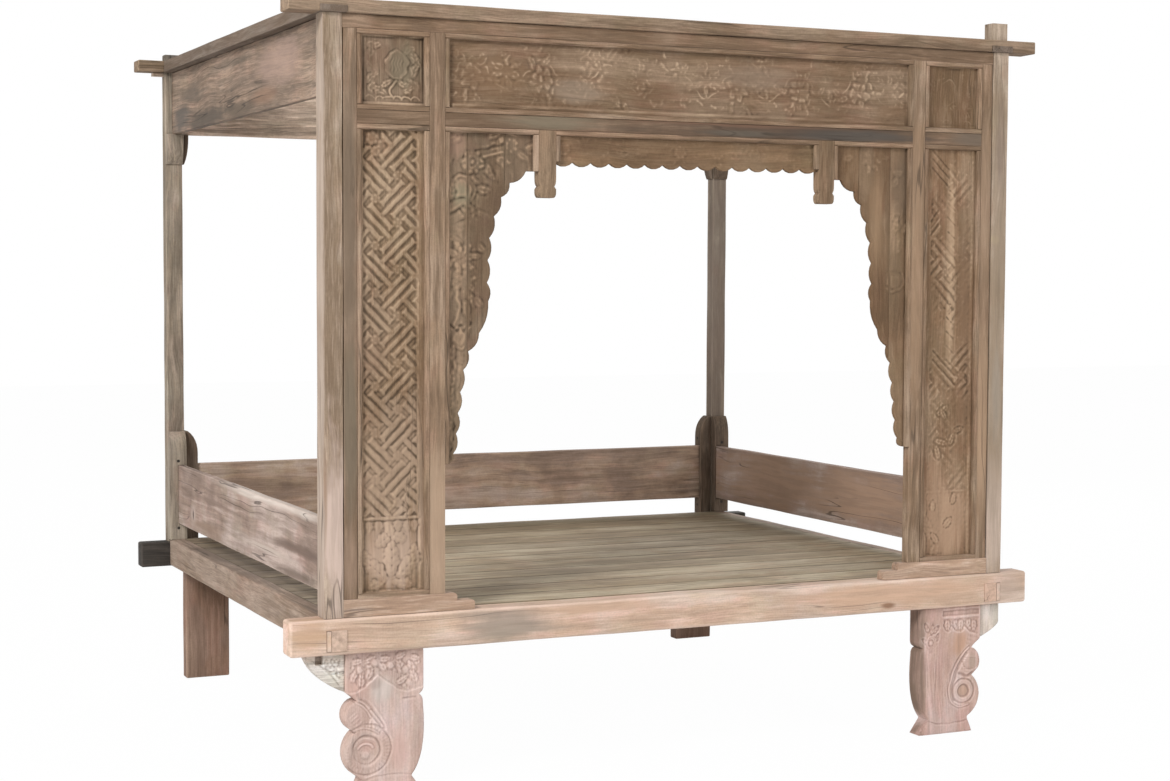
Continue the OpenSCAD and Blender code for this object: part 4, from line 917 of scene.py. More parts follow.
def longPanel(mirror):
    # the left panel with mirror 1, and the worn right one with mirror -1
    worn = mirror < 0
    left, right = (-1016, -796) if mirror > 0 else (796, 1016)
    carving = Carving(left, right, 543, 1840, longPanels["step"], longPanels["deepest"])
    deep, bottom, top = fret["deep"], longPanels["fretFrom"], longPanels["fretTo"]
    side = carving.x * mirror
    bars = keyFret(side - fret["x"], carving.z - fret["z"], fret["unit"])
    inside = (side > -994) & (side < -839) & (carving.z > bottom) & (carving.z < top)
    # plain ground lies under the flowers at the foot of the fret and in its top corner
    foot = (carving.z < bottom) & (carving.z > longPanels["leavesFrom"]) & (side > -994) & (side < -834)
    corner = (side < -940) & (side > -994) & (carving.z > 1775) & (carving.z < top)
    carving.height = np.where(foot | corner, 0.0, np.where(inside, bars * deep, deep))
    unit = fret["unit"]
    for i in range(-14, 15):                             # a small flower where four groups of bars meet
        for j in range(-14, 15):
            px = fret["x"] + (4 * i + 2 + 4 * j + 2) / math.sqrt(2) * unit
            pz = fret["z"] + (4 * i + 2 - 4 * j - 2) / math.sqrt(2) * unit
            if -990 < px < -842 and 775 < pz < 1810:
                carving.flower(px * mirror, pz, fret["flower"] * unit, 4, deep * 0.8)

    carving.stem([(-994 * mirror, 764), (-834 * mirror, 764)], 9, deep)
    tips = [(x, 758, 34, 24, -90) for x in (-978, -950, -922, -894, -866, -846)]    # they hang from the band
    carving.leaves(tips, 3.6, 0.0, 3, mirror=mirror)
    carving.leaves((                                     # a bush of broad leaves fills the foot
        (-978, 574, 60, 34, 20), (-850, 574, 60, 34, 160), (-976, 618, 66, 34, 100), (-852, 622, 70, 36, 78),
        (-930, 596, 92, 46, 132), (-896, 600, 88, 46, 44), (-914, 604, 110, 46, 84), (-958, 690, 62, 34, 30),
        (-872, 700, 56, 32, 150), (-914, 712, 46, 28, 96)), longPanels["leavesTall"], 0.12, mirror=mirror)
    carving.flower(-966 * mirror, 1797, 19, 6, 4.2, 0.3)
    carving.leaves([(-948, 1784, 20, 12, 30)], 3.4, 0.0, 2, mirror=mirror)
    if worn:
        # the right panel is rubbed nearly smooth, with a ridge down its middle and leaves lower down
        rub = np.clip(0.76 + 0.24 * cloud(carving.x, carving.z, 260, 5) + 0.12 * (carving.x > 928), 0.55, 0.94)
        flat = 2.9 + 0.7 * cloud(carving.x, carving.z * 0.6, 120, 6)
        carving.height = carving.height * (1 - rub) + flat * rub
        ridge = np.exp(-((carving.x - 914 - 4 * cloud(carving.z, carving.z * 0, 300, 8)) / 9) ** 2)
        ridge *= (carving.z > 1150) & (carving.z < 1780)
        carving.height += 1.1 * ridge
        for z in range(1160, 1760, 44):                 # short slanted cuts on the ridge
            carving.groove([(901, z + 14), (927, z - 10)], 5, 1.7)
        for z in (1130, 1158):
            carving.groove([(852, z + 44), (934, z - 34)], 7, 2.2)
        for z in (1556, 1578, 1600):
            carving.groove([(838, z), (868, z + 36)], 5, 2.0)
        for z in (1752, 1780, 1806):
            carving.groove([(842, z + 12), (904, z - 46)], 6, 2.0)
        carving.leaves((
            (868, 1000, 60, 26, 30), (905, 985, 46, 22, 115), (862, 925, 58, 26, -20), (915, 905, 50, 24, 60),
            (880, 860, 56, 26, 100), (930, 950, 44, 20, 10), (858, 700, 40, 22, 80), (900, 650, 46, 24, 40),
            (880, 600, 46, 24, 120), (930, 720, 44, 22, 70)), 4.2, 0.1)
        plain = np.clip((carving.x - 982) / 6, 0, 1)
        carving.height = carving.height * (1 - plain) + deep * plain
    carving.handCut(0.6, 62, 21)
    wear = 0.5 + 0.5 * cloud(carving.x, carving.z, 170, 3)
    carving.height -= np.clip(wear, 0, 1.2) * (0.5 if not worn else 0.3)
    if not worn:                                         # the lower half is rubbed flatter
        rub = np.interp(carving.z, [560, 760, 780, 1100, 1500], [0.08, 0.10, 0.38, 0.28, 0.0])
        rub = np.clip(rub + 0.12 * cloud(carving.x, carving.z, 200, 7), 0, 0.7) * (side > -994) * (side < -839)
        carving.height = carving.height * (1 - rub) + 3.4 * rub
    carving.height = np.minimum(carving.soften(2.0) + 0.12 * cloud(carving.x, carving.z, 26, 9), 4.6)
    return carving


panelLeft = wood("fret_panel_teak", "panel", dirt=0.8, **carvedLook, blotches=onFront(-0.92, (
    (-0.91, 0.66, 0.12, 0.13, (192, 166, 146), 0.8),
    (-0.91, 0.90, 0.12, 0.18, (170, 146, 124), 0.6),
    (-0.97, 1.25, 0.06, 0.20, (132, 110, 90), 0.5))))
panelRight = wood("worn_panel_teak", "panel", dirt=0.7, tone=(144, 115, 90), **carvedLook, blotches=onFront(-0.92, (
    (0.915, 1.45, 0.02, 0.4, (176, 148, 120), 0.8),
    (0.97, 1.30, 0.03, 0.45, (122, 96, 74), 0.6),
    (0.90, 0.68, 0.12, 0.2, (184, 152, 126), 0.6))))
carve("left_long_panel", longPanel(1), panelLeft, "panel_wood", edge=0, gain=1.3)
carve("right_long_panel", longPanel(-1), panelRight, "panel_wood", edge=0, gain=2.2)


def vine(carving, left, right, low, high, pitch, seed, tall):
    # a running stem with a leaf spray or a flower in each bend
    dice = np.random.default_rng(seed)
    middle, swing = (low + high) / 2, (high - low) * 0.26
    count = max(1, int(round((right - left) / pitch)))
    pitch = (right - left) / count
    run = [(left + t * (right - left), middle + swing * math.sin(t * count * math.pi))
           for t in np.linspace(0, 1, count * 14)]
    carving.stem(run, 6, tall * 0.8)
    for i in range(count):
        side = 1 if i % 2 == 0 else -1
        x = left + (i + 0.5) * pitch
        z = middle - side * swing * 0.25
        size = min(pitch * 0.36, (high - low) * 0.27)
        if side > 0:
            carving.flower(x, z, size, int(dice.integers(5, 8)), tall, dice.uniform(0, 1))
        for k in range(6):
            angle = 60 * k + dice.uniform(-14, 14) + (0 if side > 0 else 30)
            dx, dz = turned(angle, size * (1.0 if side > 0 else 0.25))
            carving.leaf(x + dx, z + dz, size * 1.25, size * 0.6, angle + dice.uniform(-10, 10), tall * 0.9,
                         bend=dice.uniform(-0.25, 0.25), lobes=3)


def wornDown(carving, rub, flat, seed, soften, size=150):
    # rubs a share of the relief away, down or up to the height flat, in patches
    share = np.clip(rub + 0.35 * cloud(carving.x, carving.z, size, seed), 0.05, 0.97)
    level = flat + 0.6 * cloud(carving.x, carving.z, 70, seed + 1)
    carving.height = carving.height * (1 - share) + level * share
    carving.height = np.minimum(carving.soften(soften), carving.deep - 0.2)


smallPanels = {"step": 1.5, "deepest": 4.4, "tall": 3.6, "wornTo": 2.7, "wornLeft": 0.36, "wornRight": 0.74}


def smallPanel(mirror, rub):
    # a ribbed bell of a flower among leaves, over a scalloped line
    left, right = (-1016, -796) if mirror > 0 else (796, 1016)
    carving = Carving(left, right, 1868, 2092, smallPanels["step"], smallPanels["deepest"])
    x = (left + right) / 2
    across, up = np.abs(carving.x - x), np.abs(carving.z - 1982)
    carving.height[:] = 0.4

    carving.leaves((
        (-76, 2050, 42, 22, -15), (-36, 2052, 38, 20, 200), (-72, 2008, 46, 26, 65), (-50, 1968, 48, 26, 125),
        (-78, 1948, 46, 24, 35), (-66, 1915, 42, 22, 70), (66, 2046, 46, 24, 200), (72, 1988, 50, 30, 105),
        (50, 1966, 46, 26, 55), (74, 1930, 44, 24, 130), (26, 1925, 46, 24, 10), (-20, 1918, 46, 24, 150),
        (24, 2052, 30, 16, 20)), smallPanels["tall"], 0.15, 3, middle=x, mirror=mirror)
    carving.stem([(x - 2 * mirror, 1908), (x - 10 * mirror, 1930), (x + 8 * mirror, 1952)], 6, 3.4)
    carving.bud(x + 10 * mirror, 1996, 41, 33, 90, 4.0, rim=False)
    for k in (-2, -1, 0, 1, 2):
        carving.groove([(x + (10 + 5 * k) * mirror, 2030 - 3 * abs(k)), (x + (10 + 9 * k) * mirror, 1996),
                        (x + (10 + 4 * k) * mirror, 1962)], 3.4, 1.6)
    carving.leaves(((-4, 1954, 44, 20, 205), (12, 1952, 40, 18, -25)), 4.0, 0.15, 3, middle=x, mirror=mirror)
    for k in range(6):
        carving.stem(arcPoints(x - 66 + 26 * k, 1902, 13, 9, 0, 180, 9), 4, 3.2)
    carving.handCut(2.6, 46, 23)
    carving.height = np.where((across > 88) | (up > 88), 3.4, carving.height)
    carving.height = np.where((across > 78) & (across < 82) & (up < 84), 1.8, carving.height)
    wornDown(carving, rub, smallPanels["wornTo"], 31 if mirror > 0 else 32, 1.0)
    return carving


smallLeft = wood("small_panel_teak", "panel", dirt=0.9, rubbed=0.5, tone=(117, 98, 82), **carvedLook,
                 blotches=onFront(-0.92, (
    (-0.87, 1.99, 0.05, 0.07, (122, 112, 92), 0.6),
    (-0.90, 1.89, 0.10, 0.015, (172, 146, 122), 0.7))))
smallRight = wood("small_panel_worn_teak", "panel", dirt=0.6, tone=(117, 93, 70), **carvedLook)
carve("left_small_panel", smallPanel(1, smallPanels["wornLeft"]), smallLeft, "panel_wood", edge=0, gain=2.3)
carve("right_small_panel", smallPanel(-1, smallPanels["wornRight"]), smallRight, "panel_wood", edge=0, gain=2.0)


friezeRelief = {"step": 2.2, "deepest": 4.4, "fretUnit": 15.0, "pitch": 104, "tall": 4.0, "worn": 0.36,
                "wornTo": 2.6}


def frieze():
    # a running vine over a faint fret, worn smooth in places
    carving = Carving(-764, 764, 1868, 2092, friezeRelief["step"], friezeRelief["deepest"])
    bars = keyFret(carving.x, carving.z - 1980, friezeRelief["fretUnit"])
    edge = (np.abs(carving.x) > 742) | (np.abs(carving.z - 1980) > 93)
    lip = (carving.z < 1901) & (np.abs(carving.x) < 738)
    carving.height = 0.9 + 1.3 * bars * np.clip(0.35 + 0.6 * cloud(carving.x, carving.z, 420, 44), 0, 1)
    vine(carving, -730, 730, 1906, 2066, friezeRelief["pitch"], 41, friezeRelief["tall"])
    dice = np.random.default_rng(45)
    for x in np.arange(-720, 721, 40):                   # smaller leaves fill the ground
        for z in (1925, 2045):
            carving.leaf(x + dice.uniform(-12, 12), z + dice.uniform(-10, 10), dice.uniform(26, 40),
                         dice.uniform(13, 19), dice.uniform(0, 360), 3.2, dice.uniform(-0.3, 0.3), 2)
    carving.handCut(4.5, 56, 25)
    carving.height = np.where(edge | lip, 3.6, carving.height)
    wornDown(carving, friezeRelief["worn"], friezeRelief["wornTo"], 42, 1.0, 230)
    return carving


friezeWood = wood("frieze_teak", "panel", dirt=0.6, rubbed=0.5, tone=(130, 105, 85), **carvedLook,
                  blotches=onFront(-0.92, (
    (-0.36, 1.95, 0.10, 0.04, (148, 130, 112), 0.6),
    (0.22, 2.01, 0.14, 0.05, (146, 126, 108), 0.5),
    (-0.60, 1.98, 0.10, 0.06, (132, 104, 78), 0.5))))
carve("frieze_panel", frieze(), friezeWood, "panel_wood", edge=0, gain=2.0)
print("panels are carved")


# the arch, in millimetres; tall is how high the leaves of each spandrel stand, and worn the share rubbed away
spandrels = {"step": 2.0, "deepest": 5.6, "tallLeft": 5.2, "tallRight": 5.0, "wornLeft": 0.14, "wornRight": 0.40}


def archGround(mirror, seed):
    # a spandrel's ground: small low leaves by the stile and along the top, and a rippled border by the opening
    left, right = (-770, -472) if mirror > 0 else (472, 770)
    carving = Carving(left, right, 906, 1844, spandrels["step"], spandrels["deepest"])
    carving.height[:] = 1.2
    dice = np.random.default_rng(seed)
    for z in np.arange(925, 1840, 21):
        for x in np.arange(475, 768, 26):
            draw = dice.uniform(-1, 1, 5)
            if x > 682 or z > 1735:
                carving.leaf((x + 7 * draw[0]) * -mirror, z + 6 * draw[1], 31 + 7 * draw[2], 15 + 3 * draw[3],
                             180 * draw[4], 1.9, 0.3 * draw[0], 2)
    smooth = np.clip((690 - np.abs(carving.x)) / 10, 0, 1) * np.clip((1735 - carving.z) / 20, 0, 1)
    ripple = 2.7 + 0.35 * np.sin(np.abs(carving.x) / 5.5 + 1.5 * cloud(carving.x, carving.z, 160, 16))
    carving.height = carving.height * (1 - smooth) + ripple * smooth
    return carving


def leftSpandrel():
    # buds, a star of leaves and a rosette on a tall stem
    carving, tall = archGround(1, 12), spandrels["tallLeft"]
    carving.stem([(-742, 930), (-734, 1000), (-744, 1080), (-726, 1160), (-738, 1250), (-716, 1340), (-730, 1430),
                  (-700, 1500), (-690, 1560), (-672, 1640), (-690, 1700), (-650, 1752), (-600, 1768),
                  (-500, 1772)], 8, 4.0)
    carving.leaves((
        (-752, 1790, 56, 28, 25), (-736, 1826, 46, 20, -10), (-630, 1812, 58, 28, 15), (-612, 1752, 60, 28, -20),
        (-640, 1735, 60, 28, -60), (-745, 1735, 52, 28, 75), (-690, 1700, 46, 24, -30), (-672, 1668, 62, 28, -10),
        (-668, 1610, 60, 30, -35), (-600, 1800, 52, 24, 20), (-540, 1812, 44, 24, 170), (-520, 1780, 40, 22, 20),
        (-540, 1776, 46, 24, -50), (-590, 1750, 40, 20, -70), (-660, 1560, 44, 22, 20), (-748, 1545, 50, 24, -40),
        (-664, 1520, 46, 24, -50), (-742, 1478, 56, 26, 12), (-744, 1409, 66, 24, 0), (-688, 1396, 64, 24, -80)),
        tall * 0.88, 0.15, 4)
    carving.flower(-676, 1742, 36, 9, tall, 0.2, rings=2)
    carving.flower(-560, 1790, 24, 7, tall * 0.9, 0.2)
    carving.bud(-706, 1660, 38, 46, -8, tall)
    carving.leaf(-744, 1636, 60, 24, 70, tall, 0.2, 3)
    carving.bud(-712, 1597, 45, 42, 12, tall, rim=False)
    carving.leaf(-748, 1572, 92, 34, 34, tall * 0.95, -0.1, 0)
    carving.leaf(-704, 1620, 46, 22, -62, tall, 0.1, 2)
    carving.stem([(-745, 1566), (-716, 1556), (-680, 1566), (-664, 1584)], 6, tall * 0.9)
    for angle, long in ((5, 62), (52, 58), (100, 50), (150, 44), (205, 44), (255, 48), (315, 60)):   # the star
        dx, dz = turned(angle, 6)
        carving.leaf(-712 + dx, 1476 + dz, long, 25, angle, tall, 0.12, 2)
    carving.leaves([(-696, 1408, 44, 20, angle + 20) for angle in range(0, 360, 60)], tall, 0.1, 2)
    carving.flower(-696, 1408, 11, 6, tall, 0.1)
    carving.leaves((
        (-752, 1400, 50, 22, 70), (-752, 1350, 46, 22, 60), (-668, 1370, 46, 22, -60), (-700, 1360, 54, 26, -80),
        (-714, 1242, 68, 30, 128), (-714, 1242, 66, 30, 52)), tall * 0.95, 0.12, 4)
    carving.bud(-714, 1256, 26, 32, 0, tall)
    carving.groove([(-742, 1296), (-724, 1276), (-711, 1290), (-698, 1276), (-680, 1298)], 7, 4.0)
    carving.groove([(-708, 1268), (-712, 1246), (-710, 1230)], 4, 2.4)
    carving.leaves((
        (-740, 1190, 56, 28, 75), (-716, 1180, 50, 24, -60), (-745, 1120, 56, 26, 65), (-722, 1110, 44, 22, -60),
        (-750, 1050, 54, 24, 65), (-728, 1040, 42, 20, -65), (-750, 985, 48, 22, 70), (-734, 970, 40, 18, -70),
        (-752, 925, 44, 20, 75)), tall * 0.85, 0.14, 3)
    carving.groove([(-707, 1746), (-695, 1768), (-651, 1774), (-620, 1781), (-582, 1793)], 6, 3.6)
    carving.handCut(2.8, 54, 27)
    wornDown(carving, spandrels["wornLeft"], 3.2, 51, 1.2, 160)
    return carving


def rightSpandrel():
    # a bud, a round fruit and a rosette, worn to nothing lower down
    carving, tall = archGround(-1, 13), spandrels["tallRight"]
    carving.bud(714, 1632, 27, 32, 0, tall)
    carving.leaf(708, 1560, 60, 30, 80, tall, 0.1, 3)
    carving.leaf(735, 1560, 50, 24, 60, tall, -0.1, 3)
    carving.bud(704, 1415, 36, 30, 0, tall)
    carving.stem([(670, 1402), (690, 1386), (722, 1388), (744, 1410), (740, 1440)], 7, tall)
    carving.leaves([(622, 1778, 40, 20, angle) for angle in range(0, 360, 60)], tall, 0.2, 3)
    carving.flower(622, 1778, 13, 6, tall)
    carving.leaves((
        (640, 1800, 56, 24, -20), (740, 1740, 44, 22, 160), (560, 1790, 50, 26, 190), (700, 1700, 44, 22, 60),
        (720, 1500, 56, 26, 70), (735, 1240, 60, 24, 90)), tall * 0.9, 0.14, 4)
    carving.handCut(3.0, 60, 29)
    wornDown(carving, spandrels["wornRight"], 3.4, 52, 1.4, 230)
    smooth = np.clip((1330 - carving.z) / 120, 0, 1)       # nothing is left of the carving lower down
    byOpening = np.clip((684 - carving.x) / 14, 0, 1) * np.clip((1640 - carving.z) / 60, 0, 1)
    smooth = np.maximum(smooth, byOpening * 0.85)
    carving.height = carving.height * (1 - smooth) + (4.0 + 0.5 * cloud(carving.x, carving.z * 0.3, 60, 8)) * smooth
    return carving


def contour(carving, name, band=9.0):
    # a raised rim that follows the scalloped edge
    bm, *_, inside = standsOn(name, carving)
    bm.free()
    near = carving.soften(band, inside)
    rim = (near < 0.80) & (inside > 0.5)
    line = (near >= 0.80) & (near < 0.91)
    carving.height = np.where(rim, np.maximum(carving.height, 3.1), carving.height)
    carving.height = np.where(line, np.minimum(carving.height, 2.7), carving.height)


archLook = {**carvedLook, "streaks": 0.14, "fine": 0.10, "cracks": 0.12}
archLeft = wood("spandrel_left_teak", "arch", dirt=1.0, rubbed=0.6, tone=(116, 99, 82), **archLook,
                blotches=onFront(-0.92, (
    (-0.73, 1.79, 0.04, 0.05, (148, 118, 100), 0.7),
    (-0.71, 1.65, 0.03, 0.04, (136, 126, 102), 0.7),
    (-0.74, 1.22, 0.03, 0.10, (112, 90, 72), 0.6))))
archRight = wood("spandrel_right_teak", "arch", dirt=0.7, tone=(121, 97, 74), **archLook,
                 blotches=onFront(-0.92, (
    (0.73, 1.70, 0.05, 0.14, (112, 94, 76), 0.7),
    (0.71, 1.45, 0.04, 0.10, (116, 96, 74), 0.6),
    (0.64, 1.60, 0.03, 0.18, (156, 128, 100), 0.6))))
for carving, name, finish, mirror, gain, seed in (
        (leftSpandrel(), "left_spandrel", archLeft, 1, 2.5, 163),
        (rightSpandrel(), "right_spandrel", archRight, -1, 2.2, 164)):
    contour(carving, name)
    for joint, foot in ((-692, 1752), (-579, 1690)):       # open joints between the boards
        carving.groove([(joint * mirror, foot), (joint * mirror, 1842)], 3.0, 1.8)
    carving.height = np.minimum(carving.soften(1.0), 5.3)
    carve(name, carving, finish, "arch_wood", edge=2.0, gain=gain, seed=seed)


valanceRelief = {"step": 2.0, "deepest": 4.2, "pitch": 62, "tall": 3.8, "worn": 0.36, "wornTo": 2.4}


def valance():
    # a small running vine, nearly worn away
    carving = Carving(-440, 440, 1732, 1846, valanceRelief["step"], valanceRelief["deepest"])
    carving.height[:] = 0.8
    vine(carving, -430, 430, 1750, 1832, valanceRelief["pitch"], 61, valanceRelief["tall"])
    wornDown(carving, valanceRelief["worn"], valanceRelief["wornTo"], 62, 1.3, 120)
    contour(carving, "valance", 6.0)
    carving.height = carving.soften(1.2)
    return carving


valanceWood = wood("valance_teak", "arch", dirt=0.6, tone=(148, 122, 95), **carvedLook)
carve("valance", valance(), valanceWood, "arch_wood", edge=2.0, gain=1.8)
pendants = {"softened": 0.002, "wave": 0.0004, "outline": True}
pendantWood = wood("pendant_teak", "arch", tone=(136, 114, 92))
for name in ("left_pendant", "right_pendant"):
    timbers([name], pendantWood, "arch_wood", pendants, 140)
print("arch is carved")


# front legs: how deep the carver may cut, and how high the ridges stand, in millimetres
legFace = {"step": 1.5, "deep": 7.0, "top": 7.0 - 1.2, "worn": 0.3}


def ringOf(carving, x, z, inner, outer, level, sunkLevel):
    # a flat raised ring round a sunk disc
    area, away = carving.disc(x, z, outer + 6)
    middle, half = (inner + outer) / 2, (outer - inner) / 2
    across = (away - middle) / half
    height = carving.height[area]
    height = np.where(away < inner, sunkLevel, height)
    height = np.where(np.abs(across) < 1, level - 1.4 * across ** 4, height)
    outside = (np.abs(across) >= 1) & (away > middle) & (away < outer + 4)
    carving.height[area] = np.where(outside, np.minimum(height, sunkLevel + 1), height)


def knobOf(carving, x, z, size, level):
    # a low dome
    area, away = carving.disc(x, z, size * 1.2)
    dome = level - 2.6 + 2.6 * np.sqrt(np.clip(1 - (away / size) ** 2, 0, 1))
    carving.height[area] = np.where(away < size, dome, carving.height[area])


def legGround(left, right):
    # a leg's plain face, with all of it at the height of its ridges
    carving = Carving(left, right, -4, 442, legFace["step"], legFace["deep"])
    carving.height[:] = legFace["top"]
    return carving


def wornLeg(carving, cutSeed, wornSeed):
    # cut by hand and worn soft all over
    carving.handCut(0.8, 58, cutSeed)
    worn = carving.soften(1.5) + legFace["worn"] * cloud(carving.x, carving.z, 46, wornSeed)
    carving.height = np.minimum(worn, legFace["deep"] - 0.3)
    return carving


def leftLegFace():
    carving, top = legGround(-1050, -814), legFace["top"]
    x, z = carving.x, carving.z
    # leaves round the top, over sunk ground, with a pointed arch of bare wood below them
    arch = np.interp(x, [-1045, -1018, -990, -975, -953, -932, -912, -896, -868, -836],
                     [292, 290, 306, 318, 336, 318, 306, 292, 282, 292])
    foliage = (z > arch) & (z < 397)
    carving.height = np.where(foliage, 3.0, carving.height)
    carving.leaves((
        (-1022, 345, 46, 28, 70), (-1000, 330, 50, 28, 100), (-1028, 316, 42, 26, 60), (-1004, 300, 44, 26, 75),
        (-985, 320, 46, 26, 60), (-974, 348, 46, 28, 95), (-948, 344, 46, 28, 60), (-930, 340, 48, 28, 110),
        (-905, 336, 50, 30, 70), (-880, 328, 54, 32, 100), (-858, 318, 56, 32, 80), (-842, 300, 48, 28, 100),
        (-868, 292, 46, 28, 110), (-836, 350, 40, 24, 100), (-990, 372, 38, 24, 10), (-950, 378, 40, 22, -10),
        (-905, 376, 40, 24, 15), (-862, 378, 36, 22, -20), (-1030, 372, 36, 22, 0), (-900, 306, 40, 22, 20)),
        top, 0.15, 3)
    for px, pz in ((-962, 368), (-916, 358), (-872, 342), (-1006, 352), (-860, 304)):
        carving.bud(px, pz, 11, 13, 30, top)
    # the knob with its fine strokes, and the ribs that run down from it to the scroll
    knobOf(carving, -1015, 227, 37, top)
    for k in range(5):
        carving.groove([(-1040 + 6 * k, 220 - 7 * k), (-1020 + 6 * k, 238 - 8 * k)], 4.0, 1.6)
    carving.groove([(-1020, 264), (-1000, 258), (-982, 236), (-978, 212), (-990, 190)], 6, 2.4)
    carving.stem([(-1016, 262), (-1000, 254), (-984, 238), (-974, 218)], 6, top + 0.4)
    carving.groove([(-1000, 270), (-976, 250), (-952, 214), (-936, 184)], 11, 2.8)
    carving.stem([(-974, 236), (-956, 212), (-940, 190)], 9, top)
    carving.groove([(-970, 230), (-955, 210), (-945, 196)], 3, 1.8)
    carving.groove([(-962, 252), (-944, 226), (-928, 200)], 4, 1.6)
    # the scroll: a broad flat ring with strokes across it, round a hollow with a curled lip
    ringOf(carving, -985, 130, 41, 68, top, top - 3.8)
    for angle in range(-175, 150, 9):
        ends = [(-985 + dx, 130 + dz) for dx, dz in (turned(angle, r) for r in (53, 65))]
        carving.groove(ends, 3.6, 1.5)
    area, away = carving.disc(-987, 128, 40)
    bowl = top - 3.8 + 2.4 * np.clip(away / 37, 0, 1) ** 2
    carving.height[area] = np.where(away < 37, bowl, carving.height[area])
    carving.stem(arcPoints(-988, 122, 24, 24, 150, 30, 12), 8, top - 0.8)
    carving.bud(-988, 116, 14, 14, 0, top - 1.2)
    carving.stem([(-1026, 182), (-1004, 190), (-975, 186), (-950, 172)], 6, top + 0.3)
    carving.groove([(-880, 264), (-842, 264)], 6, 2.4)
    carving.groove([(-856, 252), (-838, 232), (-832, 218)], 3, 1.2)
    for k, px in enumerate((-912, -889, -871, -858)):     # soft tool marks down the stem
        carving.groove([(px, 240 - 14 * (k % 3)), (px + 3, 150), (px + 5, 74)], 9, 0.35)
    carving.groove([(-1002, 44), (-960, 52), (-900, 56), (-850, 48)], 5, 2.0)
    return wornLeg(carving, 33, 72)


def rightLegFace():
    carving, top = legGround(814, 1050), legFace["top"]
    x, z = carving.x, carving.z
    carving.height = np.where((x > 903) & (x < 1040) & (z > 370) & (z < 389), 2.6, carving.height)
    # a sprig with a round bud on the inner side
    carving.groove([(862, 268), (852, 290), (850, 318), (866, 344)], 30, 2.2)
    carving.leaves(((866, 318, 36, 14, 40), (862, 312, 40, 14, 75), (852, 320, 38, 14, 110), (876, 292, 30, 12, 60),
                    (846, 286, 28, 12, 130)), top, 0.1, 2)
    carving.stem(arcPoints(862, 292, 16, 18, -60, 250, 14), 5, top)
    carving.bud(862, 290, 9, 10, 0, top - 0.6)
    # pointed leaves hang across the middle, and fine strokes cover the outer corner
    hang = np.interp(x, [905, 935, 950, 965, 985, 1005, 1045], [356, 322, 334, 318, 334, 316, 306])
    carving.height = np.where((z > hang) & (z < 362) & (x > 905) & (x < 1040), 4.0, carving.height)
    carving.leaves(((922, 360, 40, 26, -95), (950, 360, 42, 26, -80), (974, 360, 42, 26, -100),
                    (998, 360, 44, 26, -80), (1022, 356, 44, 24, -95)), top, 0.1, 3)
    for row in range(4):
        for k in range(5):
            px, pz = 1000 + 9 * k - 3 * row, 322 - 13 * row - 3 * k
            carving.groove([(px, pz), (px + 6, pz - 6)], 3.6, 1.6)
    # the knob with its ribs, the band that sweeps round the scroll, and the hollow between them
    knobOf(carving, 1012, 228, 34, top)
    for k in range(6):
        carving.groove([(972 + 3 * k, 240 - 8 * k), (1000, 234 - 7 * k), (1030 - 2 * k, 230 - 6 * k)], 4.0, 1.8)
    carving.groove([(968, 186), (996, 176), (1018, 184), (1036, 192)], 14, 3.6)
    sweep = [(1004, 266), (982, 248), (962, 222), (944, 188), (934, 156), (929, 130), (934, 106), (950, 88),
             (976, 80), (1004, 86)]
    carving.groove([(px + 12, pz + 1) for px, pz in sweep[1:7]] + [(958, 102), (984, 94)], 14, 3.8)
    carving.stem(sweep, 9, top + 0.4, 0.25)
    carving.groove([(px - 10, pz - 2) for px, pz in sweep[1:8]], 6, 1.3)
    ringOf(carving, 984, 130, 21, 37, top, top - 4.4)
    area, away = carving.disc(984, 130, 22)
    carving.height[area] = np.where(away < 20, top - 3.2 - 1.2 * (away / 20) ** 2, carving.height[area])
    dice = np.random.default_rng(75)
    for k, px in enumerate(range(840, 928, 7)):           # weather lines down the stem
        start, draw = 262 - 30 * dice.uniform(), dice.uniform(-1, 1, 3)
        stop = 62 + 60 * dice.uniform()
        carving.groove([(px, start), (px + 3 * draw[0], (2 * start + stop) / 3),
                        (px + 3 * draw[1], (start + 2 * stop) / 3), (px + 5, stop)], 3.8 + draw[2], 1.3)
    carving.groove([(846, 46), (880, 34), (930, 31), (1004, 37)], 5, 2.2)
    return wornLeg(carving, 35, 70)


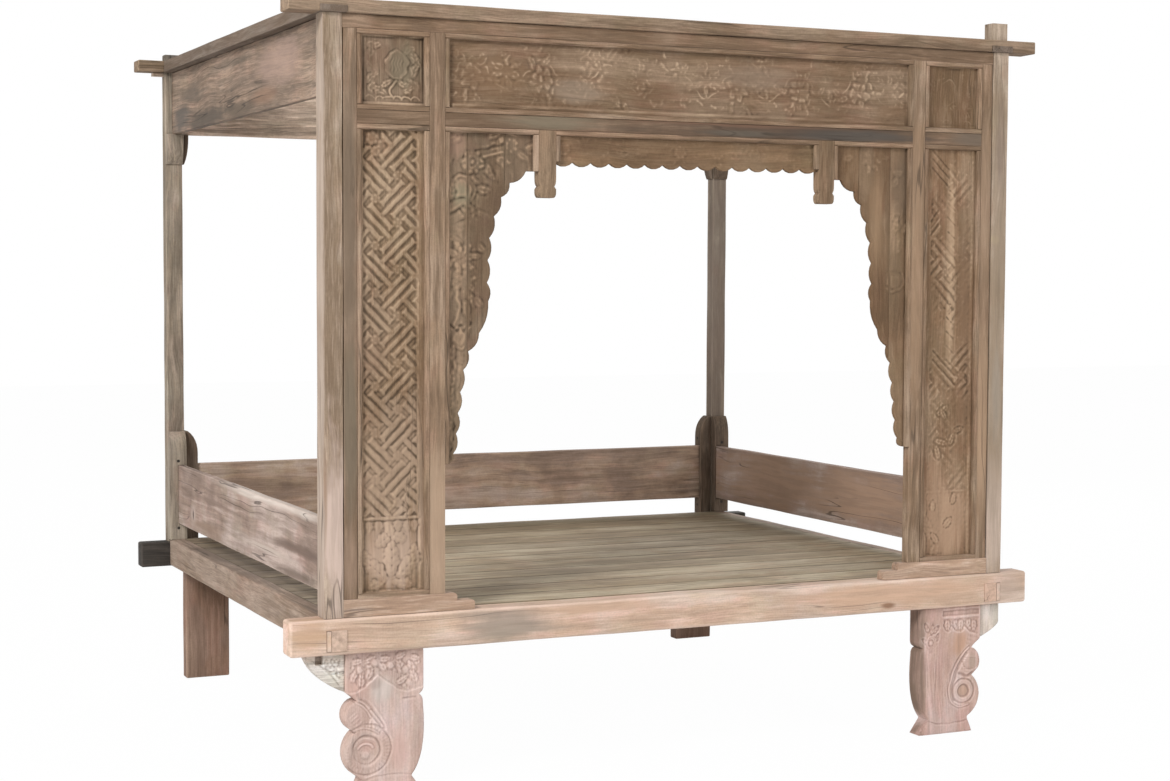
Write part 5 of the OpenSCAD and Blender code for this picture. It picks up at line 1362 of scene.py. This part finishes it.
legLook = {"streaks": 0.25, "fine": 0.12, "cracks": 0.25, "clouds": 0.5, "lime": 0.4, "stain": 0.15}
legLeft = wood("leg_left_teak", "leg", dirt=0.5, rubbed=0.45, tone=(218, 198, 193), **legLook,
               blotches=onFront(-0.93, (
    (-0.94, 0.29, 0.04, 0.04, (204, 192, 184), 0.7),
    (-0.96, 0.31, 0.02, 0.02, (174, 154, 144), 0.6),
    (-1.02, 0.31, 0.04, 0.05, (204, 168, 156), 0.6),
    (-0.985, 0.14, 0.03, 0.025, (200, 164, 152), 0.6),
    (-0.89, 0.12, 0.03, 0.07, (208, 174, 164), 0.6))))
legRight = wood("leg_right_teak", "leg", dirt=0.55, rubbed=0.35, tone=(211, 184, 176), **legLook, blotches=(
    ((0.965, -0.93, 0.285), (0.04, 0.05, 0.06), (188, 150, 126), 0.85),
    ((0.985, -0.93, 0.13), (0.03, 0.05, 0.03), (190, 158, 138), 0.8),
    ((1.02, -0.93, 0.22), (0.02, 0.05, 0.03), (168, 148, 132), 0.6),
    ((0.83, -0.88, 0.22), (0.02, 0.06, 0.3), (126, 106, 91), 0.9)))
carve("left_front_leg", leftLegFace(), legLeft, "leg_wood", edge=5.0, gain=1.3, rim=0.8)
carve("right_front_leg", rightLegFace(), legRight, "leg_wood", edge=5.0, gain=1.5, rim=0.8)


earRelief = {"step": 1.8, "deepest": 5.0, "ground": 4.4}


def earFace(mirror):
    # leafy scrolls, worn soft, behind a plain curved rim
    left, right = (-1160, -1042) if mirror > 0 else (1042, 1124)
    carving = Carving(left, right, 288, 402, earRelief["step"], earRelief["deepest"])
    carving.height[:] = earRelief["ground"]
    if mirror > 0:
        carving.groove([(-1150, 392), (-1118, 372), (-1086, 344), (-1052, 300)], 5, 2.2)
        carving.leaves(((-1060, 330, 40, 22, 80), (-1072, 352, 34, 18, 140), (-1094, 368, 30, 16, 30),
                        (-1060, 372, 30, 16, 120), (-1082, 388, 26, 14, 200)), earRelief["ground"], 0.2, 2)
        carving.groove(spiral(-1070, 376, 15, 4, 1.3, 90, 14), 4, 2.2)
    carving.height = carving.soften(1.8)
    return carving


earWood = wood("ear_teak", "leg", dirt=0.65, tone=(238, 228, 220), pale=(246, 240, 234), dark=(146, 132, 122),
               streaks=0.4)
carve("left_ear_bracket", earFace(1), earWood, "bracket_wood", edge=4.0, gain=1.8)
carve("right_ear_bracket", earFace(-1), earWood, "bracket_wood", edge=4.0)
print("legs and ears are carved")
